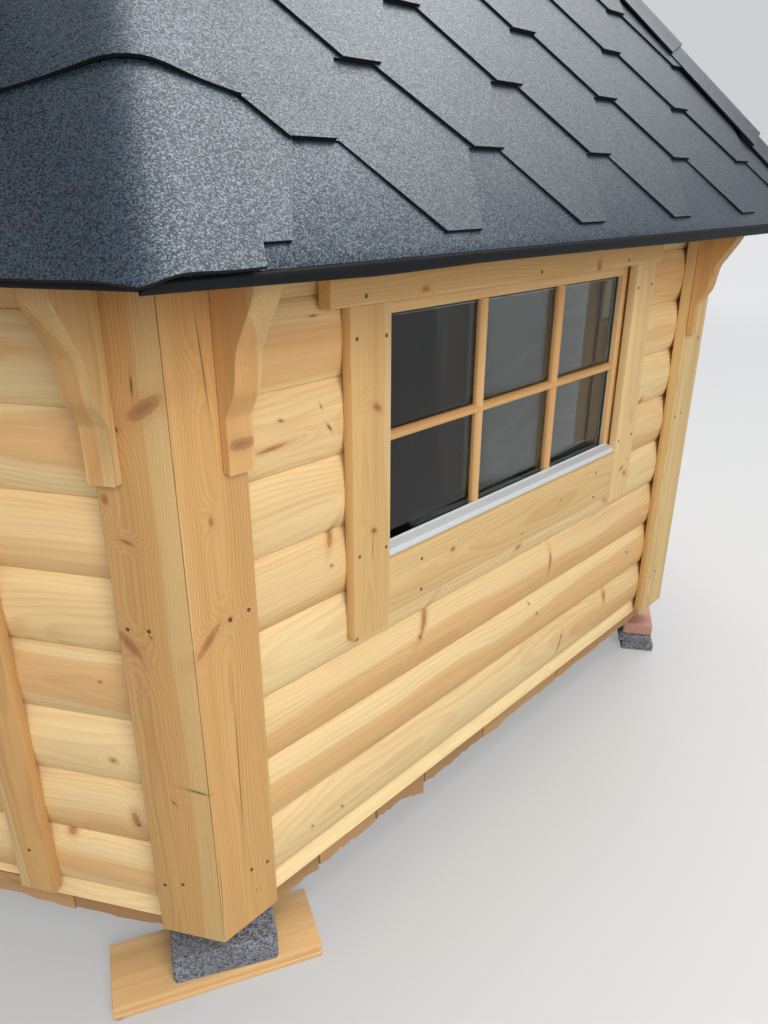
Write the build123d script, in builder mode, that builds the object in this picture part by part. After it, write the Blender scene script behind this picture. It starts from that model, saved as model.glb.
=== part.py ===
from build123d import *
from math import cos, pi, radians, sin, sqrt, tan
import os

os.makedirs("parts", exist_ok=True)

# Six-sided grill hut of round-faced logs under a steep shingled roof, millimetres.
# The door wall faces -Y, ground level is z = 0 and the origin lies under the middle of the hut.
# Distances called "out" are measured outwards from the valleys between the logs.

# Plan of the hut
wall_length = 1685
seat = 0.3
mitre_gap = 0.3

# Supports under the six corners
support_height = 96
paver_length = 200
paver_width = 100
near_board_length = 400
near_board_width = 142
near_board_thickness = 32
near_board_turn = 3.2
near_board_in = 62
near_board_shift = 17
paver_in = 47
stack_in = 5
stack_shift = 45
lower_slab_turn = 4
upper_slab_turn = -3
slab_thickness = 28
brick_length = 190
brick_width = 92

# Floor
joist_height = 47
joist_width = 48
joist_spacing = 400
rim_setback = 3
floor_thickness = 21

# Logs
log_pitch = 135
log_bulge = 20
log_back = 25
first_valley_rise = 30
log_gap = 0.4
log_courses = 12

# Roof
roof_pitch = 47
eave_reach = 280
eave_top_height = 1358
roof_board = 18
covering = 6
board_eave_reach = 272
drip_thickness = 3
drip_depth = 15
smoke_opening = 167

# Corner boards and eaves brackets
corner_board_width = 95
corner_board_thickness = 28
corner_board_drop = 20
board_easing = 3
bracket_thickness = 45
bracket_base_rise = 857
bracket_root = 63
bracket_block = 80
bracket_cove_out = 89
bracket_cove_rise = 46
bracket_waist_out = 99
bracket_waist_rise = 98
bracket_throat_out = 115
bracket_throat_rise = 126
bracket_nose = 147
bracket_nose_rise = 180

# Windows
window_width = 904
window_height = 506
window_sill_rise = 565
frame_member = 32
frame_rail = 35
frame_inside = 40
frame_outside = 12
glass_face = 3
glass_thickness = 18
casing_width = 95
casing_thickness = 21
casing_opening = 866
casing_foot_rise = 450
apron_height = 118
apron_rise = 472
head_height = 95
head_thickness = 28
head_rise = 1063
head_left = 576
head_right = 542
sill_lip = 34
sill_front_height = 13
sill_back_height = 24
opening_clearance = 2

# Door
door_gap = 5.5
door_width = 890
door_foot_rise = -12
door_height = 1490
jamb_width = 48
jamb_inside = 45
door_casing_width = 75
door_head_casing = 76
door_batten_width = 95
door_batten_thickness = 21
door_batten_ends = 20
door_batten_edge = 15
hinge_out = 54
hinge_side = 3
hinge_barrel = 7
hinge_plate = 38
pin_radius = 4
pin_clearance = 0.1
knuckle_height = 22
knuckle_gap = 1
strap_thickness = 4
strap_height = 40
strap_length = 420
hinge_courses = (1, 9)
handle_course = 4
handle_width = 28
handle_block = 34
handle_end = 18
handle_standoff = 32
handle_in = 70

# Dormer over the door
dormer_pitch = 25
dormer_board_side = 21
dormer_side_gap = 2
dormer_eave_reach = 70
dormer_front_reach = 279
frame_clearance = 19

# Smoke hat on the roof's tip
collar_wall = 18
collar_rise = 130
collar_drop = 60
hat_reach = 270
hat_pitch = 35
hat_thickness = 18
hat_tip_reach = 2
hat_lift = 70
hat_post = 34

# Levels that follow from the stack of floor pieces
rim_bottom = support_height + seat
rim_top = rim_bottom + joist_height
floor_bottom = rim_top + seat
floor_top = floor_bottom + floor_thickness
wall_base = floor_top + seat
first_valley = wall_base + first_valley_rise

inradius = wall_length * sqrt(3) / 2
half_wall = wall_length / 2
slope = tan(radians(roof_pitch))
plumb = 1 / cos(radians(roof_pitch))
under_boards = covering + roof_board + seat
run_reach = 1.6 * wall_length
tall = 5000


def normal_angle(k):
    # Compass direction in which wall k looks; wall 0 holds the door.
    return 60 * k - 90


def outward(k):
    a = radians(normal_angle(k))
    return Vector(cos(a), sin(a), 0)


def along(k):
    a = radians(normal_angle(k) + 90)
    return Vector(cos(a), sin(a), 0)


def face_plane(k, out):
    # Upright plane in front of wall k, x along the wall from its middle, y up from the ground.
    return Plane(origin=outward(k) * (inradius + out), x_dir=along(k), z_dir=outward(k))


def section_plane(k, side=0):
    # Plane across wall k, x inwards from the valleys, y up, at a distance from the wall's middle.
    return Plane(origin=outward(k) * inradius + along(k) * side, x_dir=outward(k) * -1, z_dir=along(k))


def roof_level(out, depth=0):
    # Height of the roof's upper face, or of a layer below it, above a point of the plan.
    return eave_top_height + (eave_reach - out) * slope - depth * plumb


def roof_cut_plane(k, depth):
    # Slope of roof face k, lowered by the given depth.
    n = outward(k) * sin(radians(roof_pitch)) + Vector(0, 0, cos(radians(roof_pitch)))
    return Plane(origin=outward(k) * inradius + Vector(0, 0, roof_level(0, depth)), x_dir=along(k), z_dir=n)


def sector_points(k, gap):
    # Slice of the plan that belongs to wall k, held back from the mitre lines.
    a = radians(normal_angle(k))
    tip = (2 * gap * cos(a), 2 * gap * sin(a))
    left = (tip[0] + run_reach * cos(a - pi / 6), tip[1] + run_reach * sin(a - pi / 6))
    right = (tip[0] + run_reach * cos(a + pi / 6), tip[1] + run_reach * sin(a + pi / 6))
    return tip, left, right


def mitred_run(section, k, gap=mitre_gap):
    # A straight run along wall k with the given section (out, height), mitred at both corners.
    with BuildPart() as run:
        with BuildSketch(section_plane(k)):
            with BuildLine():
                Polyline(*[(-out, height) for out, height in section], close=True)
            make_face()
        extrude(amount=run_reach, both=True)
        with BuildSketch(Plane.XY):
            with BuildLine():
                Polyline(*sector_points(k, gap), close=True)
            make_face()
        extrude(amount=tall, mode=Mode.INTERSECT)
    return run.part


def log_stack(half_length, bottom, top, k):
    # Round-faced logs laid one on another, a flat back inside and an arc outside.
    with BuildPart() as stack:
        with BuildSketch(section_plane(k)):
            for course in range(log_courses):
                low = first_valley + (course - 1) * log_pitch + log_gap / 2
                high = low + log_pitch - log_gap
                with BuildLine():
                    Polyline((0, high), (log_back, high), (log_back, low), (0, low))
                    ThreePointArc((0, low), (-log_bulge, (low + high) / 2), (0, high))
                make_face()
        extrude(amount=half_length, both=True)
        with BuildSketch(Plane.XY.offset(bottom)):
            Rectangle(3 * run_reach, 3 * run_reach)
        extrude(amount=top - bottom, mode=Mode.INTERSECT)
    return stack.part


def log_wall(k):
    # The logs of one wall, mitred at the corners and cut off under the roof boards.
    logs = log_stack(half_wall + log_bulge, wall_base, tall, k)
    with BuildPart() as wall:
        add(logs)
        with BuildSketch(Plane.XY):
            with BuildLine():
                Polyline(*sector_points(k, mitre_gap), close=True)
            make_face()
        extrude(amount=tall, mode=Mode.INTERSECT)
        split(bisect_by=roof_cut_plane(k, under_boards), keep=Keep.BOTTOM)
    return wall.part


def pane_rectangle(left, right, low, high):
    # Rectangle given by its four sides in the sketch in hand.
    with Locations(((left + right) / 2, (low + high) / 2)):
        Rectangle(right - left, high - low)


def finish(builder, name):
    builder.part.label = name
    export_step(builder.part, "parts/" + name + ".step")


# Supports: the corner next to the door and window has a paver on an offcut of board,
# the other five a brick on two slabs.
corner_radius = wall_length
corner_angles = [60 * j - 60 for j in range(6)]
other_angles = corner_angles[1:]
near_plane = Plane.XY.rotated((0, 0, corner_angles[0]))
paver_thickness = support_height - near_board_thickness - seat
brick_height = support_height - 2 * slab_thickness - 2 * seat

with BuildPart() as near_support_board:
    with BuildSketch(near_plane):
        with Locations(Location((corner_radius - near_board_in, -near_board_shift, 0), (0, 0, near_board_turn))):
            Rectangle(near_board_width, near_board_length)
    extrude(amount=near_board_thickness)
finish(near_support_board, "near_support_board")

with BuildPart() as near_support_paver:
    with BuildSketch(near_plane.offset(near_board_thickness + seat)):
        with Locations((corner_radius - paver_in, 0)):
            Rectangle(paver_width, paver_length)
    extrude(amount=paver_thickness)
    chamfer(near_support_paver.faces().sort_by(Axis.Z)[-1].edges(), 3)
finish(near_support_paver, "near_support_paver")


def stacked_slabs(level, turn):
    with BuildPart() as slabs:
        for angle in other_angles:
            with BuildSketch(Plane.XY.rotated((0, 0, angle)).offset(level)):
                with Locations(Location((corner_radius - stack_in, stack_shift, 0), (0, 0, turn))):
                    Rectangle(paver_width, paver_length)
            extrude(amount=slab_thickness)
    return slabs.part


lower_pieces = stacked_slabs(0, lower_slab_turn)
upper_pieces = stacked_slabs(slab_thickness + seat, upper_slab_turn)

with BuildPart() as lower_support_slabs:
    add(lower_pieces)
finish(lower_support_slabs, "lower_support_slabs")

with BuildPart() as upper_support_slabs:
    add(upper_pieces)
finish(upper_support_slabs, "upper_support_slabs")

with BuildPart() as support_bricks:
    for angle in other_angles:
        with BuildSketch(Plane.XY.rotated((0, 0, angle)).offset(2 * (slab_thickness + seat))):
            with Locations((corner_radius - stack_in, stack_shift)):
                Rectangle(brick_width, brick_length)
        extrude(amount=brick_height)
finish(support_bricks, "support_bricks")

# Floor: a mitred rim, joists between its sides and the boarding on top.
rim_section = [
    (-rim_setback - joist_width, rim_bottom),
    (-rim_setback, rim_bottom),
    (-rim_setback, rim_top),
    (-rim_setback - joist_width, rim_top),
]
rim_pieces = [mitred_run(rim_section, k) for k in range(6)]
with BuildPart() as floor_rim:
    for piece in rim_pieces:
        add(piece)
finish(floor_rim, "floor_rim")

joist_field = (inradius - rim_setback - joist_width - seat) * 2 / sqrt(3)
with BuildPart() as floor_joists:
    with BuildSketch(Plane.XY.offset(rim_bottom)):
        with GridLocations(0, joist_spacing, 1, 7):
            Rectangle(2 * run_reach, joist_width)
        RegularPolygon(joist_field, 6, mode=Mode.INTERSECT)
    extrude(amount=joist_height)
finish(floor_joists, "floor_joists")

with BuildPart() as floor_boards:
    with BuildSketch(Plane.XY.offset(floor_bottom)):
        RegularPolygon(wall_length, 6)
    extrude(amount=floor_thickness)
finish(floor_boards, "floor_boards")

# Walls: log stacks, with the window holes cut through three of them.
window_walls = (1, 3, 5)
window_low = first_valley + window_sill_rise
window_high = window_low + window_height
hole_half = window_width / 2 + opening_clearance
wall_names = {1: "right_front_wall", 2: "right_back_wall", 3: "back_wall", 4: "left_back_wall", 5: "left_front_wall"}
for k, name in wall_names.items():
    logs = log_wall(k)
    with BuildPart() as wall:
        add(logs)
        if k in window_walls:
            with BuildSketch(face_plane(k, -2 * log_back)):
                pane_rectangle(-hole_half, hole_half, window_low - opening_clearance, window_high + opening_clearance)
            extrude(amount=4 * log_back, mode=Mode.SUBTRACT)
    finish(wall, name)

# Door wall: a short stack of log ends on each side of the doorway.
jamb_inner = door_width / 2 + door_gap
jamb_outer = jamb_inner + jamb_width
stub_start = jamb_outer + opening_clearance
front_logs = log_wall(0)
for name, keep_side in (("front_wall_left", -1), ("front_wall_right", 1)):
    with BuildPart() as stub:
        add(front_logs)
        with BuildSketch(face_plane(0, -2 * log_back)):
            with Locations((stub_start * keep_side - keep_side * run_reach / 2, tall / 2)):
                Rectangle(run_reach, tall)
        extrude(amount=4 * log_back, mode=Mode.SUBTRACT)
    finish(stub, name)

# Corner boards: two planks nailed over the log ends meet at each corner.
board_out = log_bulge + seat
board_face = board_out + corner_board_thickness


def wall_corner_boards(k):
    with BuildPart() as boards:
        for side in (-1, 1):
            inner = half_wall - corner_board_width
            near_tip = half_wall + (board_out - 2 * mitre_gap) / sqrt(3)
            far_tip = half_wall + (board_face - 2 * mitre_gap) / sqrt(3)
            foot = first_valley - corner_board_drop
            plan = Plane(origin=outward(k) * inradius + Vector(0, 0, foot), x_dir=along(k), z_dir=(0, 0, 1))
            with BuildSketch(plan) as profile:
                with BuildLine():
                    Polyline((inner * side, -board_out), (near_tip * side, -board_out),
                             (far_tip * side, -board_face), (inner * side, -board_face), close=True)
                make_face()
                fillet(profile.vertices().sort_by_distance(plan.from_local_coords((0, -3 * board_face, 0)))[:2],
                       board_easing)
            extrude(amount=2000)
        split(bisect_by=roof_cut_plane(k, under_boards), keep=Keep.BOTTOM)
    return boards.part


board_pairs = [wall_corner_boards(k) for k in range(6)]
with BuildPart() as corner_boards:
    for pair in board_pairs:
        add(pair)
finish(corner_boards, "corner_boards")


# Eaves brackets: an ogee sawn from thick plank on the inner edge of every corner board.
def wall_brackets(k):
    bracket_foot = first_valley + bracket_base_rise
    shoulder = bracket_foot + bracket_block
    with BuildPart() as brackets:
        for side in (-1, 1):
            middle = half_wall - corner_board_width + bracket_thickness / 2
            with BuildSketch(section_plane(k, side * middle)):
                with BuildLine():
                    Line((-board_face - seat, bracket_foot), (-bracket_root, bracket_foot))
                    Line((-bracket_root, bracket_foot), (-bracket_root, shoulder))
                    Spline((-bracket_root, shoulder),
                           (-(bracket_root + bracket_cove_out) / 2, shoulder + bracket_cove_rise / 2),
                           (-bracket_cove_out, shoulder + bracket_cove_rise),
                           (-bracket_waist_out, shoulder + bracket_waist_rise),
                           (-bracket_throat_out, shoulder + bracket_throat_rise),
                           (-bracket_nose, shoulder + bracket_nose_rise), tangents=((0, 1), (0, 1)))
                    Line((-bracket_nose, shoulder + bracket_nose_rise), (-bracket_nose, tall))
                    Line((-bracket_nose, tall), (-board_face - seat, tall))
                    Line((-board_face - seat, tall), (-board_face - seat, bracket_foot))
                make_face()
            extrude(amount=bracket_thickness / 2, both=True)
        split(bisect_by=roof_cut_plane(k, under_boards), keep=Keep.BOTTOM)
    return brackets.part


bracket_pairs = [wall_brackets(k) for k in range(6)]
with BuildPart() as eaves_brackets:
    for pair in bracket_pairs:
        add(pair)
finish(eaves_brackets, "eaves_brackets")

# Windows: frame in the hole, double pane, metal sill strip and the casing boards outside.
with BuildPart() as window_frames:
    for k in window_walls:
        with BuildSketch(face_plane(k, -frame_inside)):
            for side in (-1, 1):
                with Locations((side * (window_width - frame_member) / 2, (window_low + window_high) / 2)):
                    Rectangle(frame_member, window_height)
            rail_half = window_width / 2 - frame_member - seat
            pane_rectangle(-rail_half, rail_half, window_low, window_low + frame_rail)
            pane_rectangle(-rail_half, rail_half, window_high - frame_rail, window_high)
        extrude(amount=frame_inside + frame_outside)
finish(window_frames, "window_frames")

with BuildPart() as window_panes:
    for k in window_walls:
        with BuildSketch(face_plane(k, -glass_face - glass_thickness)):
            pane_rectangle(-window_width / 2 + frame_member + seat, window_width / 2 - frame_member - seat,
                           window_low + frame_rail + seat, window_high - frame_rail - seat)
        extrude(amount=glass_thickness)
finish(window_panes, "window_panes")

apron_top = first_valley + apron_rise + apron_height
with BuildPart() as window_sills:
    for k in window_walls:
        with BuildSketch(section_plane(k)):
            with BuildLine():
                Polyline((-frame_outside - seat, apron_top + seat), (-sill_lip, apron_top + seat),
                         (-sill_lip, apron_top + sill_front_height),
                         (-frame_outside - seat, apron_top + sill_back_height), close=True)
            make_face()
        extrude(amount=casing_opening / 2 - 2 * seat, both=True)
finish(window_sills, "window_sills")

head_low = first_valley + head_rise
with BuildPart() as window_casings:
    for k in window_walls:
        with BuildSketch(face_plane(k, board_out)):
            for side in (-1, 1):
                with Locations((side * (casing_opening + casing_width) / 2,
                                (first_valley + casing_foot_rise + head_low - seat) / 2)):
                    Rectangle(casing_width, head_low - seat - first_valley - casing_foot_rise)
            pane_rectangle(-casing_opening / 2 + seat, casing_opening / 2 - seat,
                           apron_top - apron_height, apron_top)
        extrude(amount=casing_thickness)
        with BuildSketch(face_plane(k, board_out)):
            pane_rectangle(-head_left, head_right, head_low, head_low + head_height)
        extrude(amount=head_thickness)
finish(window_casings, "window_casings")

# Door frame and casing boards, fixed to the ends of the short logs.
door_foot = first_valley + door_foot_rise
door_top = door_foot + door_height
head_foot = door_top + door_gap
frame_top = head_foot + jamb_width
with BuildPart() as door_frame:
    with BuildSketch(face_plane(0, -jamb_inside)):
        pane_rectangle(-jamb_outer, -jamb_inner, wall_base, head_foot - seat)
        pane_rectangle(jamb_inner, jamb_outer, wall_base, head_foot - seat)
        pane_rectangle(-jamb_outer, jamb_outer, head_foot, frame_top)
    extrude(amount=jamb_inside + log_bulge)
finish(door_frame, "door_frame")

with BuildPart() as door_casings:
    with BuildSketch(face_plane(0, board_out)):
        for side in (-1, 1):
            with Locations((side * (jamb_inner + door_casing_width / 2), (first_valley + head_foot - seat) / 2)):
                Rectangle(door_casing_width, head_foot - seat - first_valley)
        pane_rectangle(-jamb_inner - door_casing_width, jamb_inner + door_casing_width,
                       head_foot, head_foot + door_head_casing)
    extrude(amount=casing_thickness)
finish(door_casings, "door_casings")

# Door leaf: logs of the same round face, held by three upright battens behind.
leaf_logs = log_stack(door_width / 2, door_foot, door_top, 0)
with BuildPart() as door_logs:
    add(leaf_logs)
finish(door_logs, "door_logs")

with BuildPart() as door_battens:
    with BuildSketch(face_plane(0, -log_back - seat)):
        with Locations((0, (door_foot + door_top) / 2)):
            with GridLocations((door_width - door_batten_width) / 2 - door_batten_edge, 0, 3, 1):
                Rectangle(door_batten_width, door_height - 2 * door_batten_ends)
    extrude(amount=-door_batten_thickness)
finish(door_battens, "door_battens")

# Hinges on the left of the door: straps on two of the logs, each cranked out to an eye that
# turns on a pin fixed to the casing.
hinge_x = -door_width / 2 - hinge_side
strap_depth = hinge_out - board_out
hinge_lows = [first_valley + (course + 0.5) * log_pitch - strap_height / 2 for course in hinge_courses]
with BuildPart() as hinge_straps:
    for low in hinge_lows:
        with BuildSketch(Plane(origin=(hinge_x, -inradius - hinge_out, low))):
            Circle(hinge_barrel)
            pane_rectangle(hinge_side, hinge_side + strap_thickness, 0, strap_depth)
            pane_rectangle(hinge_side, strap_length, strap_depth - strap_thickness, strap_depth)
            Circle(pin_radius + pin_clearance, mode=Mode.SUBTRACT)
        extrude(amount=strap_height)
finish(hinge_straps, "hinge_straps")

plate_depth = hinge_out - board_out - casing_thickness - seat
with BuildPart() as hinge_pins:
    for low in hinge_lows:
        with BuildSketch(Plane(origin=(hinge_x, -inradius - hinge_out, low - knuckle_height - knuckle_gap))):
            Circle(hinge_barrel)
            pane_rectangle(-hinge_plate, 0, plate_depth - strap_thickness, plate_depth)
            pane_rectangle(-hinge_barrel, -hinge_barrel + strap_thickness, 0, plate_depth)
        extrude(amount=knuckle_height)
        with BuildSketch(Plane(origin=(hinge_x, -inradius - hinge_out, low - knuckle_height - knuckle_gap))):
            Circle(pin_radius)
        extrude(amount=knuckle_height + strap_height)
finish(hinge_pins, "hinge_pins")

# Pull handle: a rounded wooden grip held off the logs by two blocks.
handle_x = door_width / 2 - handle_in
handle_low = first_valley + (handle_course + 0.5) * log_pitch - handle_block / 2
with BuildPart() as door_handle:
    for low in (handle_low, handle_low + log_pitch):
        with BuildSketch(Plane.XZ.offset(inradius + board_out)):
            with Locations((handle_x, low + handle_block / 2)):
                Rectangle(handle_width, handle_block)
        extrude(amount=handle_standoff)
    with BuildSketch(Plane.XY.offset(handle_low - handle_end)):
        with Locations((handle_x, -inradius - board_out - handle_standoff - seat - handle_width / 2)):
            RectangleRounded(handle_width, handle_width, handle_width / 3)
    extrude(amount=log_pitch + handle_block + 2 * handle_end)
finish(door_handle, "door_handle")

# Roof boards: one mitred slope over each wall, open over the door and at the smoke opening.
smoke_out = smoke_opening - inradius


def slope_section(eave, upper, lower):
    return [(eave, roof_level(eave, upper)), (smoke_out, roof_level(smoke_out, upper)),
            (smoke_out, roof_level(smoke_out, lower)), (eave, roof_level(eave, lower))]


side_out = jamb_inner + door_casing_width + dormer_side_gap
cut_half = side_out + dormer_board_side + seat
over_frame_out = eave_reach - (frame_top + frame_clearance - roof_level(eave_reach, under_boards)) / slope
cut_out = min(over_frame_out, -dormer_board_side - frame_clearance)


def beside_dormer(solid, side):
    # The part of the front slope to the left or right of the dormer.
    with BuildPart() as beside:
        add(solid)
        with BuildSketch(Plane.XY):
            with Locations((side * (cut_half + run_reach / 2), -inradius - cut_out - run_reach / 2)):
                Rectangle(run_reach, run_reach)
        extrude(amount=tall, mode=Mode.INTERSECT)
    return beside.part


def above_dormer(solid):
    # The part of the front slope over the dormer, from hip to hip.
    with BuildPart() as above:
        add(solid)
        with BuildSketch(Plane.XY):
            with Locations((0, -inradius - cut_out + mitre_gap + run_reach / 2)):
                Rectangle(2 * run_reach, run_reach)
        extrude(amount=tall, mode=Mode.INTERSECT)
    return above.part


board_section = slope_section(board_eave_reach, covering + seat, covering + roof_board)
cover_section = slope_section(eave_reach, 0, covering)
drip_in = board_eave_reach + seat
drip_top = roof_level(drip_in + drip_thickness, covering + seat)
drip_section = [(drip_in, drip_top), (drip_in + drip_thickness, drip_top),
                (drip_in + drip_thickness, drip_top - drip_depth), (drip_in, drip_top - drip_depth)]

slope_names = {1: "right_front_roof_boards", 2: "right_back_roof_boards", 3: "back_roof_boards",
               4: "left_back_roof_boards", 5: "left_front_roof_boards"}
for k, name in slope_names.items():
    slope_piece = mitred_run(board_section, k)
    with BuildPart() as roof_slope:
        add(slope_piece)
    finish(roof_slope, name)

front_slope = mitred_run(board_section, 0)
front_pieces = [beside_dormer(front_slope, -1), beside_dormer(front_slope, 1), above_dormer(front_slope)]
with BuildPart() as front_roof_boards:
    for piece in front_pieces:
        add(piece)
finish(front_roof_boards, "front_roof_boards")

front_cover = mitred_run(cover_section, 0)
cover_pieces = [mitred_run(cover_section, k) for k in range(1, 6)]
cover_pieces += [beside_dormer(front_cover, -1), beside_dormer(front_cover, 1), above_dormer(front_cover)]
with BuildPart() as roof_shingles:
    for piece in cover_pieces:
        add(piece)
finish(roof_shingles, "roof_shingles")

front_drip = mitred_run(drip_section, 0)
drip_pieces = [mitred_run(drip_section, k) for k in range(1, 6)]
drip_pieces += [beside_dormer(front_drip, -1), beside_dormer(front_drip, 1)]
with BuildPart() as drip_edges:
    for piece in drip_pieces:
        add(piece)
finish(drip_edges, "drip_edges")

# Dormer: two triangular cheeks, a gable over the door head and a small pitched roof.
plate_top = head_foot + door_head_casing + seat
dormer_slope = tan(radians(dormer_pitch))
dormer_plumb = 1 / cos(radians(dormer_pitch))
dormer_half = cut_half + dormer_eave_reach


def gable_level(x, above=0):
    # Height of a layer of the dormer roof at a distance from its ridge line.
    return plate_top + seat + (cut_half - abs(x)) * dormer_slope + above * dormer_plumb


with BuildPart() as dormer_cheeks:
    for side in (-1, 1):
        with BuildSketch(section_plane(0, side * (side_out + dormer_board_side / 2))):
            with BuildLine():
                Polyline((-board_eave_reach, roof_level(board_eave_reach, covering + roof_board - seat)),
                         (-board_eave_reach, plate_top),
                         (-cut_out - 1, plate_top),
                         (-cut_out - 1, roof_level(cut_out + 1, covering + roof_board - seat)),
                         close=True)
            make_face()
        extrude(amount=dormer_board_side / 2, both=True)
finish(dormer_cheeks, "dormer_cheeks")

with BuildPart() as dormer_gable:
    with BuildSketch(face_plane(0, -dormer_board_side)):
        with BuildLine():
            Polyline((-side_out + 1, frame_top + seat), (side_out - 1, frame_top + seat),
                     (side_out - 1, gable_level(side_out) - 1), (0, gable_level(0) - 1),
                     (-side_out + 1, gable_level(side_out) - 1), close=True)
        make_face()
    extrude(amount=dormer_board_side)
finish(dormer_gable, "dormer_gable")


def dormer_layer(low, high):
    # One layer of both dormer slopes, run back into the main roof and cut on its shingles.
    with BuildPart() as layer:
        with BuildSketch(face_plane(0, dormer_front_reach)):
            for side in (-1, 1):
                tip = side * 0.2
                edge = side * dormer_half
                with BuildLine():
                    Polyline((tip, gable_level(0, low)), (edge, gable_level(dormer_half, low)),
                             (edge, gable_level(dormer_half, high)), (tip, gable_level(0, high)), close=True)
                make_face()
        extrude(amount=-1200)
        split(bisect_by=roof_cut_plane(0, -seat), keep=Keep.TOP)
    return layer.part


dormer_board_layer = dormer_layer(0, roof_board)
dormer_cover_layer = dormer_layer(roof_board + seat, roof_board + covering)
with BuildPart() as dormer_roof_boards:
    add(dormer_board_layer)
finish(dormer_roof_boards, "dormer_roof_boards")

with BuildPart() as dormer_shingles:
    add(dormer_cover_layer)
finish(dormer_shingles, "dormer_shingles")

# Smoke hat: a six-sided collar in the roof's tip and a small pyramid lifted above it.
collar_low = roof_level(smoke_out, covering + roof_board) - collar_drop
collar_top = roof_level(smoke_out) + collar_rise
collar_section = [(smoke_out - seat, collar_low), (smoke_out - seat, collar_top),
                  (smoke_out - seat - collar_wall, collar_top), (smoke_out - seat - collar_wall, collar_low)]
collar_pieces = [mitred_run(collar_section, k) for k in range(6)]
with BuildPart() as smoke_collar:
    for piece in collar_pieces:
        add(piece)
finish(smoke_collar, "smoke_collar")

hat_low = collar_top + hat_lift
hat_slope = tan(radians(hat_pitch))
hat_plumb = hat_thickness / cos(radians(hat_pitch))
hat_tip = hat_low + hat_reach * hat_slope
hat_section = [(-inradius + hat_reach, hat_low), (-inradius + hat_tip_reach, hat_tip - hat_tip_reach * hat_slope),
               (-inradius + hat_tip_reach, hat_tip - hat_tip_reach * hat_slope + hat_plumb),
               (-inradius + hat_reach, hat_low + hat_plumb)]
hat_pieces = [mitred_run(hat_section, k) for k in range(6)]
with BuildPart() as smoke_hat:
    for piece in hat_pieces:
        add(piece)
finish(smoke_hat, "smoke_hat")

# Three posts inside the collar carry the hat under the middle of its slopes.
post_outer = smoke_opening - 2 * seat - collar_wall
post_inner = post_outer - hat_post
post_low = collar_low + collar_drop


def hat_underside(reach):
    return hat_low + (hat_reach - reach) * hat_slope - seat


with BuildPart() as smoke_hat_posts:
    for k in (0, 2, 4):
        with BuildSketch(Plane(origin=(0, 0, 0), x_dir=outward(k), z_dir=along(k) * -1)):
            with BuildLine():
                Polyline((post_inner, post_low), (post_outer, post_low), (post_outer, hat_underside(post_outer)),
                         (post_inner, hat_underside(post_inner)), close=True)
            make_face()
        extrude(amount=hat_post / 2, both=True)
finish(smoke_hat_posts, "smoke_hat_posts")
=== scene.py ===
import math

import bmesh
import bpy
import numpy as np
from mathutils import Matrix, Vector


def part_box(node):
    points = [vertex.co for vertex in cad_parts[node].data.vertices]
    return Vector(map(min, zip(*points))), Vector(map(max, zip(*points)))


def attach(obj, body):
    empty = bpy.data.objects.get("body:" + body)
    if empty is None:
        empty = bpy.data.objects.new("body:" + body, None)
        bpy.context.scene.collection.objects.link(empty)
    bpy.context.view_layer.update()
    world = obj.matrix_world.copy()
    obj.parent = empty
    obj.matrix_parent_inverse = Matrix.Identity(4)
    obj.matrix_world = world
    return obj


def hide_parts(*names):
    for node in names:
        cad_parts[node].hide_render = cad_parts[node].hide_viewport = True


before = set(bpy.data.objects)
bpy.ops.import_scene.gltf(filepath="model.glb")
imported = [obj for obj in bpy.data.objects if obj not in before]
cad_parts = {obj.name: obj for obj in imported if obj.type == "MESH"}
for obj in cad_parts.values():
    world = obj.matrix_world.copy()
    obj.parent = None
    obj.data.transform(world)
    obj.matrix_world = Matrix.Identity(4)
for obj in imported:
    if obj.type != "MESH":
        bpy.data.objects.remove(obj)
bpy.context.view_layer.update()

rng = np.random.default_rng(23)


# Walls: round-faced spruce logs laid on their long edges, one row on the next, six walls mitred
# into the corners. Each log is planed flat inside and round outside, and a valley runs along
# every joint. Three walls have a hole cut for a window, and short logs flank the doorway.
wall_length = 1.685
inradius = wall_length * math.sqrt(3) / 2
half_wall = wall_length / 2
course = 0.135
first_valley = 0.1949
wall_foot = 0.1649
log_bulge = 0.020
log_back = 0.025
log_joint = 0.0002
mitre_gap = 0.0003
sharp_from = math.radians(32)
pitch = math.radians(47)
roof_slope = math.tan(pitch)
eave_out = 0.280
eave_height = 1.358
covering = 0.0243
under_boards = covering / math.cos(pitch)
hole_half = 0.454
hole_low = 0.7579
hole_high = 1.2679
stub_start = 0.5005


def in_wall(k, x, out, z):
    """Points of wall k from the distance along it, the distance outwards from its valleys and the height."""
    turn = math.radians(60 * k - 90)
    x, out, z = np.broadcast_arrays(x, out, z)
    reach = inradius + out
    return np.stack([reach * math.cos(turn) - x * math.sin(turn),
                     reach * math.sin(turn) + x * math.cos(turn), z], axis=-1)


def level(k):
    """Puts a lying board on wall k: it takes its distance along, height and distance outwards."""
    return lambda x, z, out: in_wall(k, x, out, z)


def mitre(out):
    """Half the length of a wall at a distance outwards: it grows by the tangent of 30 degrees."""
    return half_wall + (out - 2 * mitre_gap) / math.sqrt(3)


def under_roof(out):
    """Height of the roof boards' underside at a distance outwards: a straight slope of 47 degrees."""
    return eave_height + (eave_out - out) * roof_slope - under_boards


def log_reach(z, low, high):
    """Outward reach of a log's face at height z: one minus the distance from its middle to the power
    2.2, raised to 0.75, so that the face is nearly flat and rolls quickly into both valleys."""
    away = np.clip(np.abs(2 * (z - low) / (high - low) - 1), 0, 1)
    return log_bulge * (1 - away ** 2.2) ** 0.75


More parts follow.
